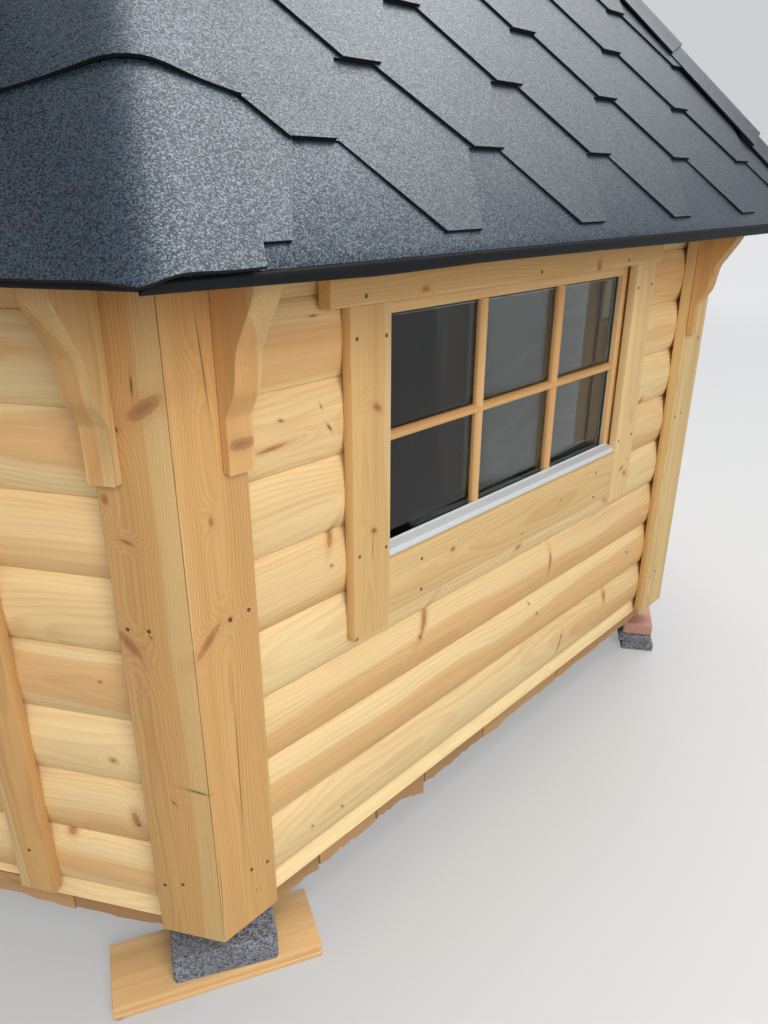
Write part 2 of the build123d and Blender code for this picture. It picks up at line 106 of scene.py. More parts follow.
def log_section(low, high, foot, head, roofed):
    """Closed section of (height, out): the round face from foot to head, then the flat back. Under the
    roof both the face and the back end on the slope."""
    if roofed:
        trial = np.linspace(low, high, 400)
        head = min(head, trial[trial <= under_roof(log_reach(trial, low, high))].max())
    turn = np.linspace(0, math.pi, 19)
    z = np.clip((low + high) / 2 - np.cos(turn) * (high - low) / 2, foot, head)
    z[0], z[-1] = foot, head
    back = min(high, under_roof(-log_back)) if roofed else head
    face = np.stack([z, log_reach(z, low, high)], axis=-1)
    return np.concatenate([face, [[back, -log_back], [foot, -log_back]]])


class Tree:
    """Where a board was sawn: shift moves it along the trunk and away from the heart, and tone holds
    three numbers from 0 to 1 for its tint, its lightness and the width of its rings."""

    def __init__(self, heart=(0.03, 0.08), side=(-0.035, 0.035)):
        self.shift = np.array([rng.uniform(0, 40), rng.uniform(*side), rng.uniform(*heart)])
        self.tone = rng.random(3)


class Stock:
    """The closed bodies of one piece, gathered before they become one mesh."""

    def __init__(self):
        self.points, self.grain, self.tone, self.faces, self.finish = [], [], [], [], []
        self.count = 0

    def take(self, rings, grain, tone, second=()):
        """Adds closed loops of points, an array of loops by points by 3. Quads join each loop to the
        next and both ends are closed. The sides numbered in second get the second material, and so
        do the ends then."""
        loops, around = rings.shape[:2]
        here = np.arange(around)
        after = (here + 1) % around
        base = self.count + around * np.arange(loops - 1)[:, None]
        quads = np.stack([base + here, base + after, base + around + after, base + around + here], axis=-1)
        self.faces += quads.reshape(-1, 4).tolist()
        self.faces += [(self.count + here).tolist(), (self.count + around * (loops - 1) + here).tolist()]
        side = np.isin(here, second).astype(int)
        self.finish += np.tile(side, loops - 1).tolist() + [int(len(second) > 0)] * 2
        self.points.append(rings.reshape(-1, 3))
        self.grain.append(np.broadcast_to(grain, rings.shape).reshape(-1, 3))
        self.tone.append(np.broadcast_to(tone, rings.shape).reshape(-1, 3))
        self.count += loops * around

    def piece(self, name, body, materials, replaced):
        """Makes the mesh, turns all faces outwards and says what the piece rides on and stands for."""
        mesh = bpy.data.meshes.new(name)
        mesh.from_pydata(np.concatenate(self.points).tolist(), [], self.faces)
        for label, values in (("grain", self.grain), ("tone", self.tone)):
            layer = mesh.attributes.new(label, "FLOAT_VECTOR", "POINT")
            layer.data.foreach_set("vector", np.concatenate(values).ravel())
        for material in materials:
            mesh.materials.append(material)
        mesh.polygons.foreach_set("material_index", self.finish)
        work = bmesh.new()
        work.from_mesh(mesh)
        bmesh.ops.recalc_face_normals(work, faces=work.faces)
        work.to_mesh(mesh)
        work.free()
        mesh.shade_smooth()
        mesh.set_sharp_from_angle(angle=sharp_from)
        made = bpy.data.objects.new(name, mesh)
        bpy.context.scene.collection.objects.link(made)
        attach(made, body)
        if replaced:
            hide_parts(*replaced)


def saw(stock, place, section, start, end, easing=0.0015, tree=None, order=(0, 1, 2), second=()):
    """Adds one board. Its section, a closed line of (across, depth) points, is carried along the length
    from start to end, each a number or a function of the section's points, and drawn in at both ends
    to ease them. place turns length, across and depth into points; order says which of the three the
    wood's length, width and depth follow."""
    tree = Tree() if tree is None else tree
    a, d = np.asarray(section, float).T
    first = start(a, d) if callable(start) else np.full(a.shape, float(start))
    last = end(a, d) if callable(end) else np.full(a.shape, float(end))
    loops = []
    for length, tight in ((first, 1), (first + easing, 0), (last - easing, 0), (last, 1)):
        pull = [1 - tight * min(0.9, 2 * easing / np.ptp(v)) for v in (a, d)]
        middle = [(v.max() + v.min()) / 2 for v in (a, d)]
        loops.append([length, middle[0] + (a - middle[0]) * pull[0], middle[1] + (d - middle[1]) * pull[1]])
    length, across, depth = np.array(loops).transpose(1, 0, 2)
    own = (length, across - (a.max() + a.min()) / 2, depth - (d.max() + d.min()) / 2)
    grain = np.stack([own[i] for i in order], axis=-1) + tree.shift
    stock.take(place(length, across, depth), grain, tree.tone, second)


class Socket:
    """A shader node's output that can stand in sums: each operator adds one Math node."""

    def __init__(self, output):
        self.output = output

    def node(self, kind, settings, inputs, result=0):
        """Another node of the same material: first its settings, then values or links for its inputs,
        by name or number."""
        tree = self.output.id_data
        made = tree.nodes.new(kind)
        for key, value in settings.items():
            setattr(made, key, value)
        for key, value in inputs.items():
            if isinstance(value, Socket):
                tree.links.new(value.output, made.inputs[key])
            else:
                made.inputs[key].default_value = value
        return Socket(made.outputs[result])

    def math(self, operation, *others):
        return self.node("ShaderNodeMath", {"operation": operation}, dict(enumerate((self,) + others)))

    def __add__(self, other):
        return self.math("ADD", other)

    __radd__ = __add__

    def __sub__(self, other):
        return self.math("SUBTRACT", other)

    def __rsub__(self, other):
        return self.node("ShaderNodeMath", {"operation": "SUBTRACT"}, {0: other, 1: self})

    def __mul__(self, other):
        return self.math("MULTIPLY", other)

    __rmul__ = __mul__

    def __truediv__(self, other):
        return self.math("DIVIDE", other)

    def vector(self, operation, *others, result=0):
        return self.node("ShaderNodeVectorMath", {"operation": operation},
                         dict(enumerate((self,) + others)), result)

    def rise(self, low, high):
        """Smooth step from 0 at low to 1 at high."""
        return self.node("ShaderNodeMapRange", {"interpolation_type": "SMOOTHSTEP"},
                         {0: self, 1: low, 2: high})

    def part(self, axis):
        return self.node("ShaderNodeSeparateXYZ", {}, {0: self}, axis)

    def noise(self, scale, detail=2.0):
        return self.node("ShaderNodeTexNoise", {}, {"Vector": self, "Scale": scale, "Detail": detail})

    def blend(self, first, second):
        """Mixes two colours by this factor."""
        return self.node("ShaderNodeMix", {"data_type": "RGBA"}, {0: self, 6: first, 7: second}, 2)

    def scaled(self, factor):
        """A colour made lighter or darker by a factor."""
        return self.node("ShaderNodeVectorMath", {"operation": "SCALE"}, {0: self, "Scale": factor})


def paint(red, green, blue):
    """Linear colour from the 0 to 255 values that a screen shows."""
    part = np.array([red, green, blue]) / 255
    linear = np.where(part <= 0.04045, part / 12.92, ((part + 0.055) / 1.055) ** 2.4)
    return (*linear.tolist(), 1.0)


def new_material(name):
    """A material, its shader and the socket that says where on the object a point lies."""
    material = bpy.data.materials.new(name)
    material.use_nodes = True
    shader = material.node_tree.nodes["Principled BSDF"]
    place = Socket(material.node_tree.nodes.new("ShaderNodeTexCoord").outputs["Object"])
    return material, shader, place


def apply_finish(shader, colour, roughness, height, strength, distance):
    """Links colour, roughness and a height for the bump into the shader."""
    tree = colour.output.id_data
    tree.links.new(colour.output, shader.inputs["Base Color"])
    tree.links.new(roughness.output, shader.inputs["Roughness"])
    bump = height.node("ShaderNodeBump", {}, {"Strength": strength, "Distance": distance, "Height": height})
    tree.links.new(bump.output, shader.inputs["Normal"])


def marks_near(place, marks):
    """Distance to the nearest of the marks, 1 at a mark's edge. They are grouped by wall and distance
    outwards. Each is an ellipse: its distance along the wall, its height, half its length and width,
    and its tilt in degrees."""
    mark_depth = 0.06
    nearest = None
    for (k, out), group in marks.items():
        turn = math.radians(60 * k - 90)
        axes = [(-math.sin(turn), math.cos(turn), 0), (0, 0, 1), (math.cos(turn), math.sin(turn), 0)]
        along, up, outwards = [place.vector("DOT_PRODUCT", axis, result="Value") for axis in axes]
        wall = place.node("ShaderNodeCombineXYZ", {}, {0: along, 1: up, 2: outwards - inradius})
        for x, z, long, wide, tilt in group:
            own = wall.node("ShaderNodeMapping", {"vector_type": "TEXTURE"}, {
                "Vector": wall, "Location": (x, z, out), "Rotation": (0, 0, math.radians(tilt)),
                "Scale": (long, wide, mark_depth)})
            away = own.vector("LENGTH", result="Value")
            nearest = away if nearest is None else nearest.math("MINIMUM", away)
    return nearest


def wood(name, sap, heart, late, knot_share=0.3, ring_depth=0.3, along=None, rough=0.62, spread=0.16,
         knots=None, flecks=None):
    """Softwood. Rings are circles round a heart line that wanders a little; sapwood lies outside and
    heartwood inside; knots grow outwards from the heart and bend the rings around them, and some are
    listed, as are dark flecks and cracks. The pattern follows each board's own grain, or with
    along the order of the object's axes."""
    material, shader, place = new_material(name)
    sap, heart, late = paint(*sap), paint(*heart), paint(*late)
    if along is None:
        grain, tone = [place.node("ShaderNodeAttribute", {"attribute_name": label}, {}, "Vector")
                       for label in ("grain", "tone")]
    else:
        turned = [place.part("XYZ".index(axis)) for axis in along]
        grain = place.node("ShaderNodeCombineXYZ", {}, {0: turned[0], 1: turned[1], 2: turned[2] + 0.07})
        tone = place.vector("MULTIPLY", (0, 0, 0)).vector("ADD", (0.5, 0.5, 0.5))

    # The heart line wanders along the trunk, and a point's ring is its distance from that line.
    wander = grain.vector("MULTIPLY", (1.3, 3.0, 3.0))
    wander = wander.node("ShaderNodeTexNoise", {}, {"Vector": wander, "Scale": 1.0, "Detail": 2.0}, "Color")
    across = grain.part(1) + (wander.part(0) - 0.5) * 0.07
    depth = grain.part(2) + (wander.part(1) - 0.5) * 0.05
    reach = (across * across + depth * depth).math("SQRT")

    # Knots sit in cells along the trunk and round it, and only a share of the cells has one.
    knot_cell = 0.26
    spot = place.node("ShaderNodeCombineXYZ", {}, {
        0: grain.part(0), 1: across.math("ARCTAN2", depth) * 0.07, 2: tone.part(0)})
    scatter = place.node("ShaderNodeTexVoronoi", {"voronoi_dimensions": "2D"},
                         {"Vector": spot, "Scale": 1 / knot_cell})
    chance = Socket(scatter.output.node.outputs["Color"])
    present = chance.part(0).rise(1 - knot_share, 1.001 - knot_share)
    knot_size = chance.part(1) * 0.007 + 0.003
    away = scatter * knot_cell / knot_size + (1 - present) * 50
    if knots:
        away = away.math("MINIMUM", marks_near(place, knots))
    away = away * (grain.noise(120.0) * 0.5 + 0.75)
    knot = 1 - away.rise(0.75, 1.1)
    halo = (1 - away.rise(0.9, 2.6)) * 0.42
    pull = ((away * away) * -0.12).math("EXPONENT")

    # Each ring darkens slowly into latewood and ends sharply.
    fine, streak, broad = [grain.vector("MULTIPLY", factors).noise(1.0, detail) for factors, detail in (
        ((6, 340, 340), 1.0), ((1.2, 95, 95), 2.0), ((0.9, 22, 22), 2.0))]
    ring_width = tone.part(2) * 0.0032 + 0.0028
    turn = ((reach + pull * 0.012 + (broad - 0.5) * 0.006) / ring_width).math("FRACT")
    latewood = turn.rise(0.25, 0.88) * (1 - turn.rise(0.9, 1.0)) * (broad.rise(0.3, 0.62) * 0.6 + 0.4)
    sapwood = (reach + (broad - 0.5) * 0.014).rise(0.0655, 0.0715)
    colour = sapwood.blend(heart, sap)
    colour = (tone.part(0) * 0.5).blend(colour, heart)
    colour = (latewood * ring_depth).blend(colour, late)
    colour = (broad.rise(0.42, 0.8) * 0.3).blend(colour, late)
    colour = halo.blend(colour, paint(196, 142, 92))
    colour = (knot * 0.6).blend(colour, paint(150, 102, 64))
    dark = (knot * (1 - away.rise(0.25, 0.6))) * 0.25
    if flecks:
        near = marks_near(place, flecks)
        for low, high, depth_of_tint in ((0.5, 1.2, 0.75), (0.9, 2.6, 0.16)):
            dark = dark.math("MAXIMUM", (1 - near.rise(low, high)) * depth_of_tint)
    colour = dark.blend(colour, paint(84, 56, 36))
    light = tone.part(1) * spread + (1 - spread / 2) + (fine - 0.5) * 0.2 + (streak - 0.5) * 0.15
    apply_finish(shader, colour.scaled(light), rough + (fine - 0.5) * 0.2, fine, 0.3, 0.00045)
    shader.inputs["Specular IOR Level"].default_value = 0.3
    return material


log_wood = wood(
    "planed_spruce_logs", (236, 212, 160), (224, 182, 126), (196, 146, 92), 0.2, 0.24,
    knots={
        (1, 0.018): [(-0.553, 0.864, 0.022, 0.006, -116), (-0.294, 0.582, 0.036, 0.007, -122),
            (0.192, 0.546, 0.028, 0.005, -95), (0.532, 0.308, 0.018, 0.007, -104),
            (0.038, 0.64, 0.011, 0.006, 8), (0.282, 0.258, 0.026, 0.004, -112),
            (-0.68, 1.057, 0.03, 0.004, 4)],
        (0, 0.018): [(0.708, 0.4, 0.017, 0.008, -81), (0.558, 0.328, 0.011, 0.009, -42),
            (0.681, 0.526, 0.007, 0.005, -8)]},
    flecks={
        (1, 0.018): [(-0.659, 1.097, 0.006, 0.0025, -12), (-0.559, 1.065, 0.01, 0.003, -51),
            (-0.574, 1.103, 0.006, 0.0015, -75), (-0.562, 0.812, 0.004, 0.003, -35),
            (-0.583, 1.247, 0.008, 0.002, 1), (-0.314, 0.551, 0.006, 0.004, -63),
            (0.12, 0.45, 0.005, 0.003, -61), (0.15, 0.412, 0.006, 0.003, -61),
            (0.636, 0.417, 0.008, 0.003, -19), (0.29, 0.28, 0.005, 0.003, 0),
            (-0.55, 0.253, 0.005, 0.003, -35), (-0.631, 0.258, 0.004, 0.003, -36)],
        (0, 0.018): [(0.712, 0.388, 0.004, 0.003, 0)]})

log_tops = [first_valley + course * row for row in range(12)]


def wall_logs(stock, k, x_ranges, hole=False):
    """All the logs of wall k. x_ranges holds pairs of ends, where None stands for a mitre. The first log
    is sawn nearer to the bark than the rest."""
    for high in log_tops:
        low = high - course + log_joint
        foot = max(low, wall_foot)
        log = Tree((0.076, 0.088) if foot > low else (0.030, 0.056), (-0.006, 0.032))
        roofed = high > under_roof(log_bulge)
        whole = log_section(low, high - log_joint, foot, high - log_joint, roofed)

        def run(section, ends):
            start = (lambda a, d: -mitre(d)) if ends[0] is None else ends[0]
            end = (lambda a, d: mitre(d)) if ends[1] is None else ends[1]
            saw(stock, level(k), section, start, end, 0.0004, log)

        if not hole or high < hole_low or low > hole_high:
            for ends in x_ranges:
                run(whole, ends)
            continue
        run(whole, (None, -hole_half))
        run(whole, (hole_half, None))
        if low < hole_low < high:
            run(log_section(low, high, foot, hole_low, False), (-hole_half, hole_half))
        if low < hole_high < high - 2 * log_joint:
            run(log_section(low, high, hole_high, high, False), (-hole_half, hole_half))


wall_nodes = {1: "right_front_wall", 2: "right_back_wall", 3: "back_wall", 4: "left_back_wall",
              5: "left_front_wall"}
for k, node in wall_nodes.items():
    stock = Stock()
    wall_logs(stock, k, [(None, None)], k in (1, 3, 5))
    stock.piece(node + "_logs", "hut", [log_wood], [node])
for node, ends in (("front_wall_left", (None, -stub_start)), ("front_wall_right", (stub_start, None))):
    stock = Stock()
    wall_logs(stock, 0, [ends])
    stock.piece(node + "_logs", "hut", [log_wood], [node])


# Corner boards: 28 mm planks, two at each corner, nailed over the ends of the logs with their long
# edges eased. They are cut near the heart, darker and more orange than the logs, and reach a
# little below the first log.
board_back = 0.0203
board_face = 0.0483
board_inner = 0.7475
board_foot = 0.1749


def upright(k):
    """Puts a standing board on wall k: it takes its height, distance along and distance outwards."""
    return lambda z, x, out: in_wall(k, x, out, z)


def eased(corners, radius, steps=3):
    """The closed line through the corners with each one rounded by a short parabola, all by one radius
    or each by its own."""
    corners = np.asarray(corners, float)
    line = []
    t = np.linspace(0, 1, steps + 1)[:, None]
    radii = np.broadcast_to(radius, len(corners))
    for before, here, after, r in zip(np.roll(corners, 1, 0), corners, np.roll(corners, -1, 0), radii):
        back, on = before - here, after - here
        cut = [min(r, 0.45 * np.linalg.norm(v)) / np.linalg.norm(v) for v in (back, on)]
        first, last = here + back * cut[0], here + on * cut[1]
        line.append((1 - t) ** 2 * first + 2 * t * (1 - t) * here + t ** 2 * last)
    return np.concatenate(line)


board_wood = wood(
    "corner_board_spruce", (218, 190, 134), (206, 162, 104), (172, 126, 74), 0.25, 0.42,
    knots={
        (0, 0.048): [(0.837, 1.162, 0.034, 0.011, 34), (0.784, 0.962, 0.013, 0.004, -19),
            (0.766, 0.788, 0.028, 0.009, -53)],
        (1, 0.048): [(-0.843, 0.796, 0.034, 0.008, 46), (-0.801, 0.818, 0.006, 0.005, 0)]},
    flecks={
        (0, 0.048): [(0.823, 1.191, 0.016, 0.0022, 87), (0.791, 1.13, 0.005, 0.004, -37),
            (0.803, 0.806, 0.005, 0.0015, -61), (0.805, 0.486, 0.007, 0.0018, -44)],
        (1, 0.048): [(-0.811, 1.215, 0.079, 0.001, -86), (-0.809, 0.533, 0.14, 0.0012, -91),
            (-0.882, 0.519, 0.014, 0.0025, -13), (-0.866, 0.302, 0.08, 0.0008, -91)]})
# Set cuts for three boards. The far board of wall 1, (1, 1), is cut in pale sapwood: partly its own colour,
# partly painted sunlight falling on it from the side.
set_cuts_and_painted_sun = {(0, 1): ((0.024, 0.025), (0.027, 0.028)), (1, -1): ((0.012, 0.013), (0.004, 0.005)),
          (1, 1): ((0.060, 0.070), (0.020, 0.030))}
stock = Stock()
for k in range(6):
    for side in (-1, 1):
        corners = [(board_inner * side, board_back), (mitre(board_back) * side, board_back),
                   (mitre(board_face) * side, board_face), (board_inner * side, board_face)]
        tree = Tree((0.015, 0.035), (-0.04, 0.04))
        if (k, side) in set_cuts_and_painted_sun:
            tree = Tree(*set_cuts_and_painted_sun[k, side])
        saw(stock, upright(k), eased(corners, [0.001, 0.0004, 0.0009, 0.004]), board_foot,
            lambda x, out: under_roof(out), 0.0015, tree)
stock.piece("corner_board_pairs", "hut", [board_wood], ["corner_boards"])


# Eaves brackets: an ogee sawn from 45 mm plank, one on the inner edge of every corner board, that
# runs up under the roof boards. The saw has cut across the rings, so the curved edge shows them.
bracket_foot = 1.0519
bracket_half = 0.0225
ogee = np.array([(1.1319, 0.063), (1.1549, 0.076), (1.1779, 0.089),
                 (1.2299, 0.099), (1.2579, 0.115), (1.3119, 0.147)])


def flowing(points, steps=6):
    """Smooth line through the points: cubic pieces whose slope at a point is that between its neighbours."""
    ends = np.concatenate([[points[0] - (0.03, 0)], points, [points[-1] + (0.03, 0)]])
    slope = (ends[2:] - ends[:-2]) / 2
    t = np.linspace(0, 1, steps, endpoint=False)[:, None]
    runs = [(2 * t ** 3 - 3 * t ** 2 + 1) * p + (t ** 3 - 2 * t ** 2 + t) * m
            + (3 * t ** 2 - 2 * t ** 3) * q + (t ** 3 - t ** 2) * n
            for p, q, m, n in zip(points, points[1:], slope, slope[1:])]
    return np.concatenate(runs + [points[-1:]])


bracket_wood = wood("bracket_spruce", (226, 196, 140), (212, 166, 108), (186, 136, 82), 0.25)
least, most = ogee[0, 1], ogee[-1, 1]
outline = np.concatenate([[(bracket_foot, board_face), (bracket_foot, least)], flowing(ogee),
                          [(under_roof(most), most), (under_roof(board_face), board_face)]])
stock = Stock()
for k in range(6):
    for side in (-1, 1):
        middle = side * (board_inner + bracket_half)
        place = lambda x, z, out: in_wall(k, middle + x, out + mitre_gap, z)
        saw(stock, place, outline, -bracket_half, bracket_half, 0.0025, Tree((0.03, 0.06), (-0.04, 0.04)),
            (1, 2, 0))
stock.piece("bracket_pairs", "hut", [bracket_wood], ["eaves_brackets"])


# Windows, three alike: a frame in the hole, casing boards nailed over its edge, a thicker head
# board and an apron below. Yellowish planed spruce; the boards' faces show screws and nails.
window_walls = (1, 3, 5)
casing_face = 0.0413
casing_span = (0.433, 0.528)
casing_ends = (0.6449, 1.2576)
apron_low, apron_high, apron_half = 0.6669, 0.7849, 0.4327
head_low, head_high = 1.2579, 1.3529
head_left, head_right = -0.576, 0.542


def plank(low, high, radius=0.0025):
    """Section of a plank between two opposite corners, its four edges eased."""
    (a0, d0), (a1, d1) = low, high
    return eased([(a0, d0), (a1, d0), (a1, d1), (a0, d1)], radius, 2)


def both_sides(near, far):
    """The spans between two distances from a wall's middle, on its left and on its right."""
    return (-far, -near), (near, far)


casing_wood = wood(
    "casing_spruce", (230, 200, 146), (220, 182, 122), (194, 148, 92), 0.3, 0.34,
    knots={
        (1, 0.041): [(-0.477, 0.858, 0.007, 0.005, -42), (-0.468, 1.085, 0.012, 0.006, -33),
            (-0.243, 0.74, 0.007, 0.005, 0), (0.5, 0.712, 0.01, 0.006, -41),
            (0.478, 0.73, 0.009, 0.005, 20)],
        (1, 0.048): [(-0.356, 1.27, 0.01, 0.005, 0)]},
    flecks={
        (1, 0.041): [(-0.48, 0.825, 0.028, 0.001, -93), (-0.476, 0.86, 0.004, 0.003, 0),
            (0.015, 0.69, 0.004, 0.002, 0), (-0.241, 0.741, 0.003, 0.002, 0),
            (-0.523, 0.65, 0.005, 0.004, 40)]})
stock = Stock()
for k in window_walls:
    for left, right in both_sides(*casing_span):
        saw(stock, upright(k), plank((left, board_back), (right, casing_face)), *casing_ends)
    saw(stock, level(k), plank((apron_low, board_back), (apron_high, casing_face)), -apron_half, apron_half,
        tree=Tree((0.05, 0.09)))
    saw(stock, level(k), plank((head_low, board_back), (head_high, board_face)), head_left, head_right,
        tree=Tree((0.01, 0.03)))
stock.piece("window_casing_boards", "hut", [casing_wood], ["window_casings"])

frame_wood = wood("window_spruce", (226, 188, 132), (216, 168, 110), (192, 142, 88), 0.0, 0.2)
frame_low, frame_high = 0.7599, 1.2659
frame_back, frame_face = -0.040, 0.012
post_span = (0.420, 0.452)
sill_rail_top, head_rail_foot, rail_half = 0.7949, 1.2309, 0.4197
stock = Stock()
for k in window_walls:
    for left, right in both_sides(*post_span):
        saw(stock, upright(k), plank((left, frame_back), (right, frame_face), 0.002), frame_low, frame_high)
    for foot, head in ((frame_low, sill_rail_top), (head_rail_foot, frame_high)):
        saw(stock, level(k), plank((foot, frame_back), (head, frame_face), 0.002), -rail_half, rail_half)
stock.piece("window_frame_members", "hut", [frame_wood], ["window_frames"])


# Window bars: two upright bars and one across on the weather side of the pane and the same grid on
# the room side, each with a small bevel on both edges, stuck on the glass.
bar_half = 0.0095
bar_foot, bar_top = 0.7952, 1.2306
upright_bars = (-0.131, 0.151)
cross_half = 0.009
cross_height = 1.011
cross_reach = 0.4194
bar_easing = 0.0003


def bar_section(middle, half, glass, bevel, face):
    """Section of a bar: its sides rise square from the glass to the bevel, then lean in to half width."""
    tip = half / 2
    return eased([(middle - half, glass), (middle + half, glass), (middle + half, bevel),
                  (middle + tip, face), (middle - tip, face), (middle - half, bevel)], 0.001, 2)


stock = Stock()
for k in window_walls:
    for glass, face in ((-0.003, 0.0135), (-0.021, -0.034)):
        bevel = glass + (face - glass) * 0.55
        for middle in upright_bars:
            section = bar_section(middle, bar_half, glass, bevel, face)
            saw(stock, upright(k), section, bar_foot, bar_top, bar_easing)
        section = bar_section(cross_height, cross_half, glass, bevel, glass + (face - glass) * 1.08)
        saw(stock, level(k), section, -cross_reach, cross_reach, bar_easing)
stock.piece("window_bars", "hut", [frame_wood], [])


# Panes: two sheets of 4 mm float glass with a metal spacer between them round the edge, bedded in
# a thin black gasket on both faces.
pane_half = 0.4196
pane_low = 0.7953
pane_high = 1.2305
sheet_thickness = 0.004
sheet_backs = (-0.021, -0.007)
glass_material, shader, place = new_material("clear_float_glass")
smears = place.noise(2.2, 3.0)
apply_finish(shader, smears.rise(0.3, 0.7).blend((0.60, 0.65, 0.62, 1), (0.56, 0.62, 0.60, 1)),
             smears * 0.02, smears, 0.02, 0.0004)
shader.inputs["Transmission Weight"].default_value = 1.0
shader.inputs["IOR"].default_value = 1.5
shader.inputs["Specular IOR Level"].default_value = 0.35
stock = Stock()
for k in window_walls:
    for back in sheet_backs:
        saw(stock, upright(k), plank((-pane_half, back), (pane_half, back + sheet_thickness), 0.0005),
            pane_low, pane_high, 0.0003)
stock.piece("window_double_panes", "hut", [glass_material], ["window_panes"])


def plain_finish(name, scale, detail, dark, light, rough, spread, strength, distance, metallic=0.0,
                 specular=0.5):
    """A material whose colour, roughness and fine relief all follow one noise on the object."""
    material, shader, place = new_material(name)
    mottled = place.noise(scale, detail)
    apply_finish(shader, mottled.blend(paint(*dark), paint(*light)), mottled * spread + rough, mottled,
                 strength, distance)
    shader.inputs["Metallic"].default_value = metallic
    shader.inputs["Specular IOR Level"].default_value = specular
    return material


metal, shader, place = new_material("anodised_aluminium")
brushed = place.vector("MULTIPLY", (60, 60, 900)).noise(1.0, 3.0)
apply_finish(shader, brushed.blend(paint(202, 208, 213), paint(220, 225, 228)), brushed * 0.15 + 0.4,
             brushed, 0.1, 0.0002)
shader.inputs["Metallic"].default_value = 0.15
gasket = plain_finish("black_gasket", 400.0, 2.0, (18, 18, 19), (30, 30, 31), 0.5, 0.2, 0.1, 0.0002)


def edge_ring(stock, k, width, inner_out, outer_out, inset):
    """Four straight strips round a pane, each of the given width, mitred into a closed ring."""
    half, low, high = pane_half - inset, pane_low + inset, pane_high - inset

    def strip(edge, way):
        """Section of a strip that reaches from the edge in the given way."""
        far = edge + way * width
        return eased([(edge, inner_out), (far, inner_out), (far, outer_out), (edge, outer_out)], 0.0004, 2)

    for side in (-1, 1):
        saw(stock, upright(k), strip(side * half, -side),
            lambda x, out: low + half - side * x, lambda x, out: high - half + side * x, 0.0001)
    for edge, way in ((low, 1), (high, -1)):
        saw(stock, level(k), strip(edge, way),
            lambda z, out: -half + way * (z - edge), lambda z, out: half - way * (z - edge), 0.0001)


spacer_width, spacer_inset = 0.007, 0.001
gasket_width = 0.0045
stock = Stock()
seals = Stock()
for k in window_walls:
    edge_ring(stock, k, spacer_width, -0.0168, -0.0072, spacer_inset)
    for inner_out, outer_out in ((-0.0029, -0.0005), (-0.0235, -0.0211)):
        edge_ring(seals, k, gasket_width, inner_out, outer_out, 0.0)
stock.piece("window_spacers", "hut", [metal], [])
seals.piece("window_gaskets", "hut", [gasket], [])


# Sill strips: folded aluminium between the side casings, sloping outwards over the apron and
# ending in a small turned-down lip.
sill_fold = [(0.8088, 0.0122), (0.8045, 0.0150), (0.7988, 0.0322), (0.7905, 0.0340), (0.7860, 0.0340),
             (0.7860, 0.0322), (0.7952, 0.0306), (0.7852, 0.0300), (0.7852, 0.0122)]
sill_half = 0.4324
stock = Stock()
for k in window_walls:
    saw(stock, level(k), eased(sill_fold, 0.0012, 2), -sill_half, sill_half, 0.0004)
stock.piece("window_sill_strips", "hut", [metal], ["window_sills"])


# Doorway: a jamb on each side, a head across them and casing boards over the joint with the logs.
jamb_inner, jamb_outer, casing_outer = 0.4505, 0.4985, 0.5255
jamb_back, jamb_face = -0.045, 0.020
jamb_top, head_foot = 1.6781, 1.6784
head_top, head_casing_top = 1.7264, 1.7544
stock = Stock()
casings = Stock()
for jamb, casing in zip(both_sides(jamb_inner, jamb_outer), both_sides(jamb_inner, casing_outer)):
    saw(stock, upright(0), plank((jamb[0], jamb_back), (jamb[1], jamb_face)), wall_foot, jamb_top)
    saw(casings, upright(0), plank((casing[0], board_back), (casing[1], casing_face)),
        first_valley, jamb_top)
saw(stock, level(0), plank((head_foot, jamb_back), (head_top, jamb_face)), -jamb_outer, jamb_outer)
saw(casings, level(0), plank((head_foot, board_back), (head_casing_top, casing_face)),
    -casing_outer, casing_outer)
stock.piece("door_frame_members", "hut", [frame_wood], ["door_frame"])
casings.piece("door_casing_boards", "hut", [board_wood], ["door_casings"])


# Door leaf: short logs with the walls' own face, screwed to three upright battens inside, and a
# wooden pull. It rides on the door body and hangs on black steel straps and pins.
leaf_half, leaf_foot, leaf_top = 0.445, 0.1829, 1.6729
batten_at, batten_half = 0.3825, 0.0475
batten_back, batten_face = -0.0463, -0.0253
batten_foot, batten_top = 0.2029, 1.6529
stock = Stock()
for high in log_tops:
    low = high - course + log_joint
    foot, head = max(low, leaf_foot), min(high - log_joint, leaf_top)
    if head - foot > 0.002:
        saw(stock, level(0), log_section(low, high - log_joint, foot, head, False), -leaf_half, leaf_half,
            tree=Tree((0.035, 0.075), (-0.03, 0.03)))
stock.piece("door_leaf_logs", "door", [log_wood], ["door_logs"])
stock = Stock()
for middle in (-batten_at, 0, batten_at):
    saw(stock, upright(0), plank((middle - batten_half, batten_back), (middle + batten_half, batten_face)),
        batten_foot, batten_top)
stock.piece("door_leaf_battens", "door", [frame_wood], ["door_battens"])
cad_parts["door_handle"].material_slots[0].material = wood(
    "handle_wood", (196, 150, 98), (182, 134, 84), (150, 104, 62), 0.0, 0.4, "ZXY", 0.45)
steel = plain_finish("black_hinge_steel", 260.0, 3.0, (22, 22, 23), (40, 40, 42), 0.4, 0.25, 0.3, 0.0004,
                     metallic=0.6)
for node in ("hinge_straps", "hinge_pins"):
    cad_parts[node].material_slots[0].material = steel


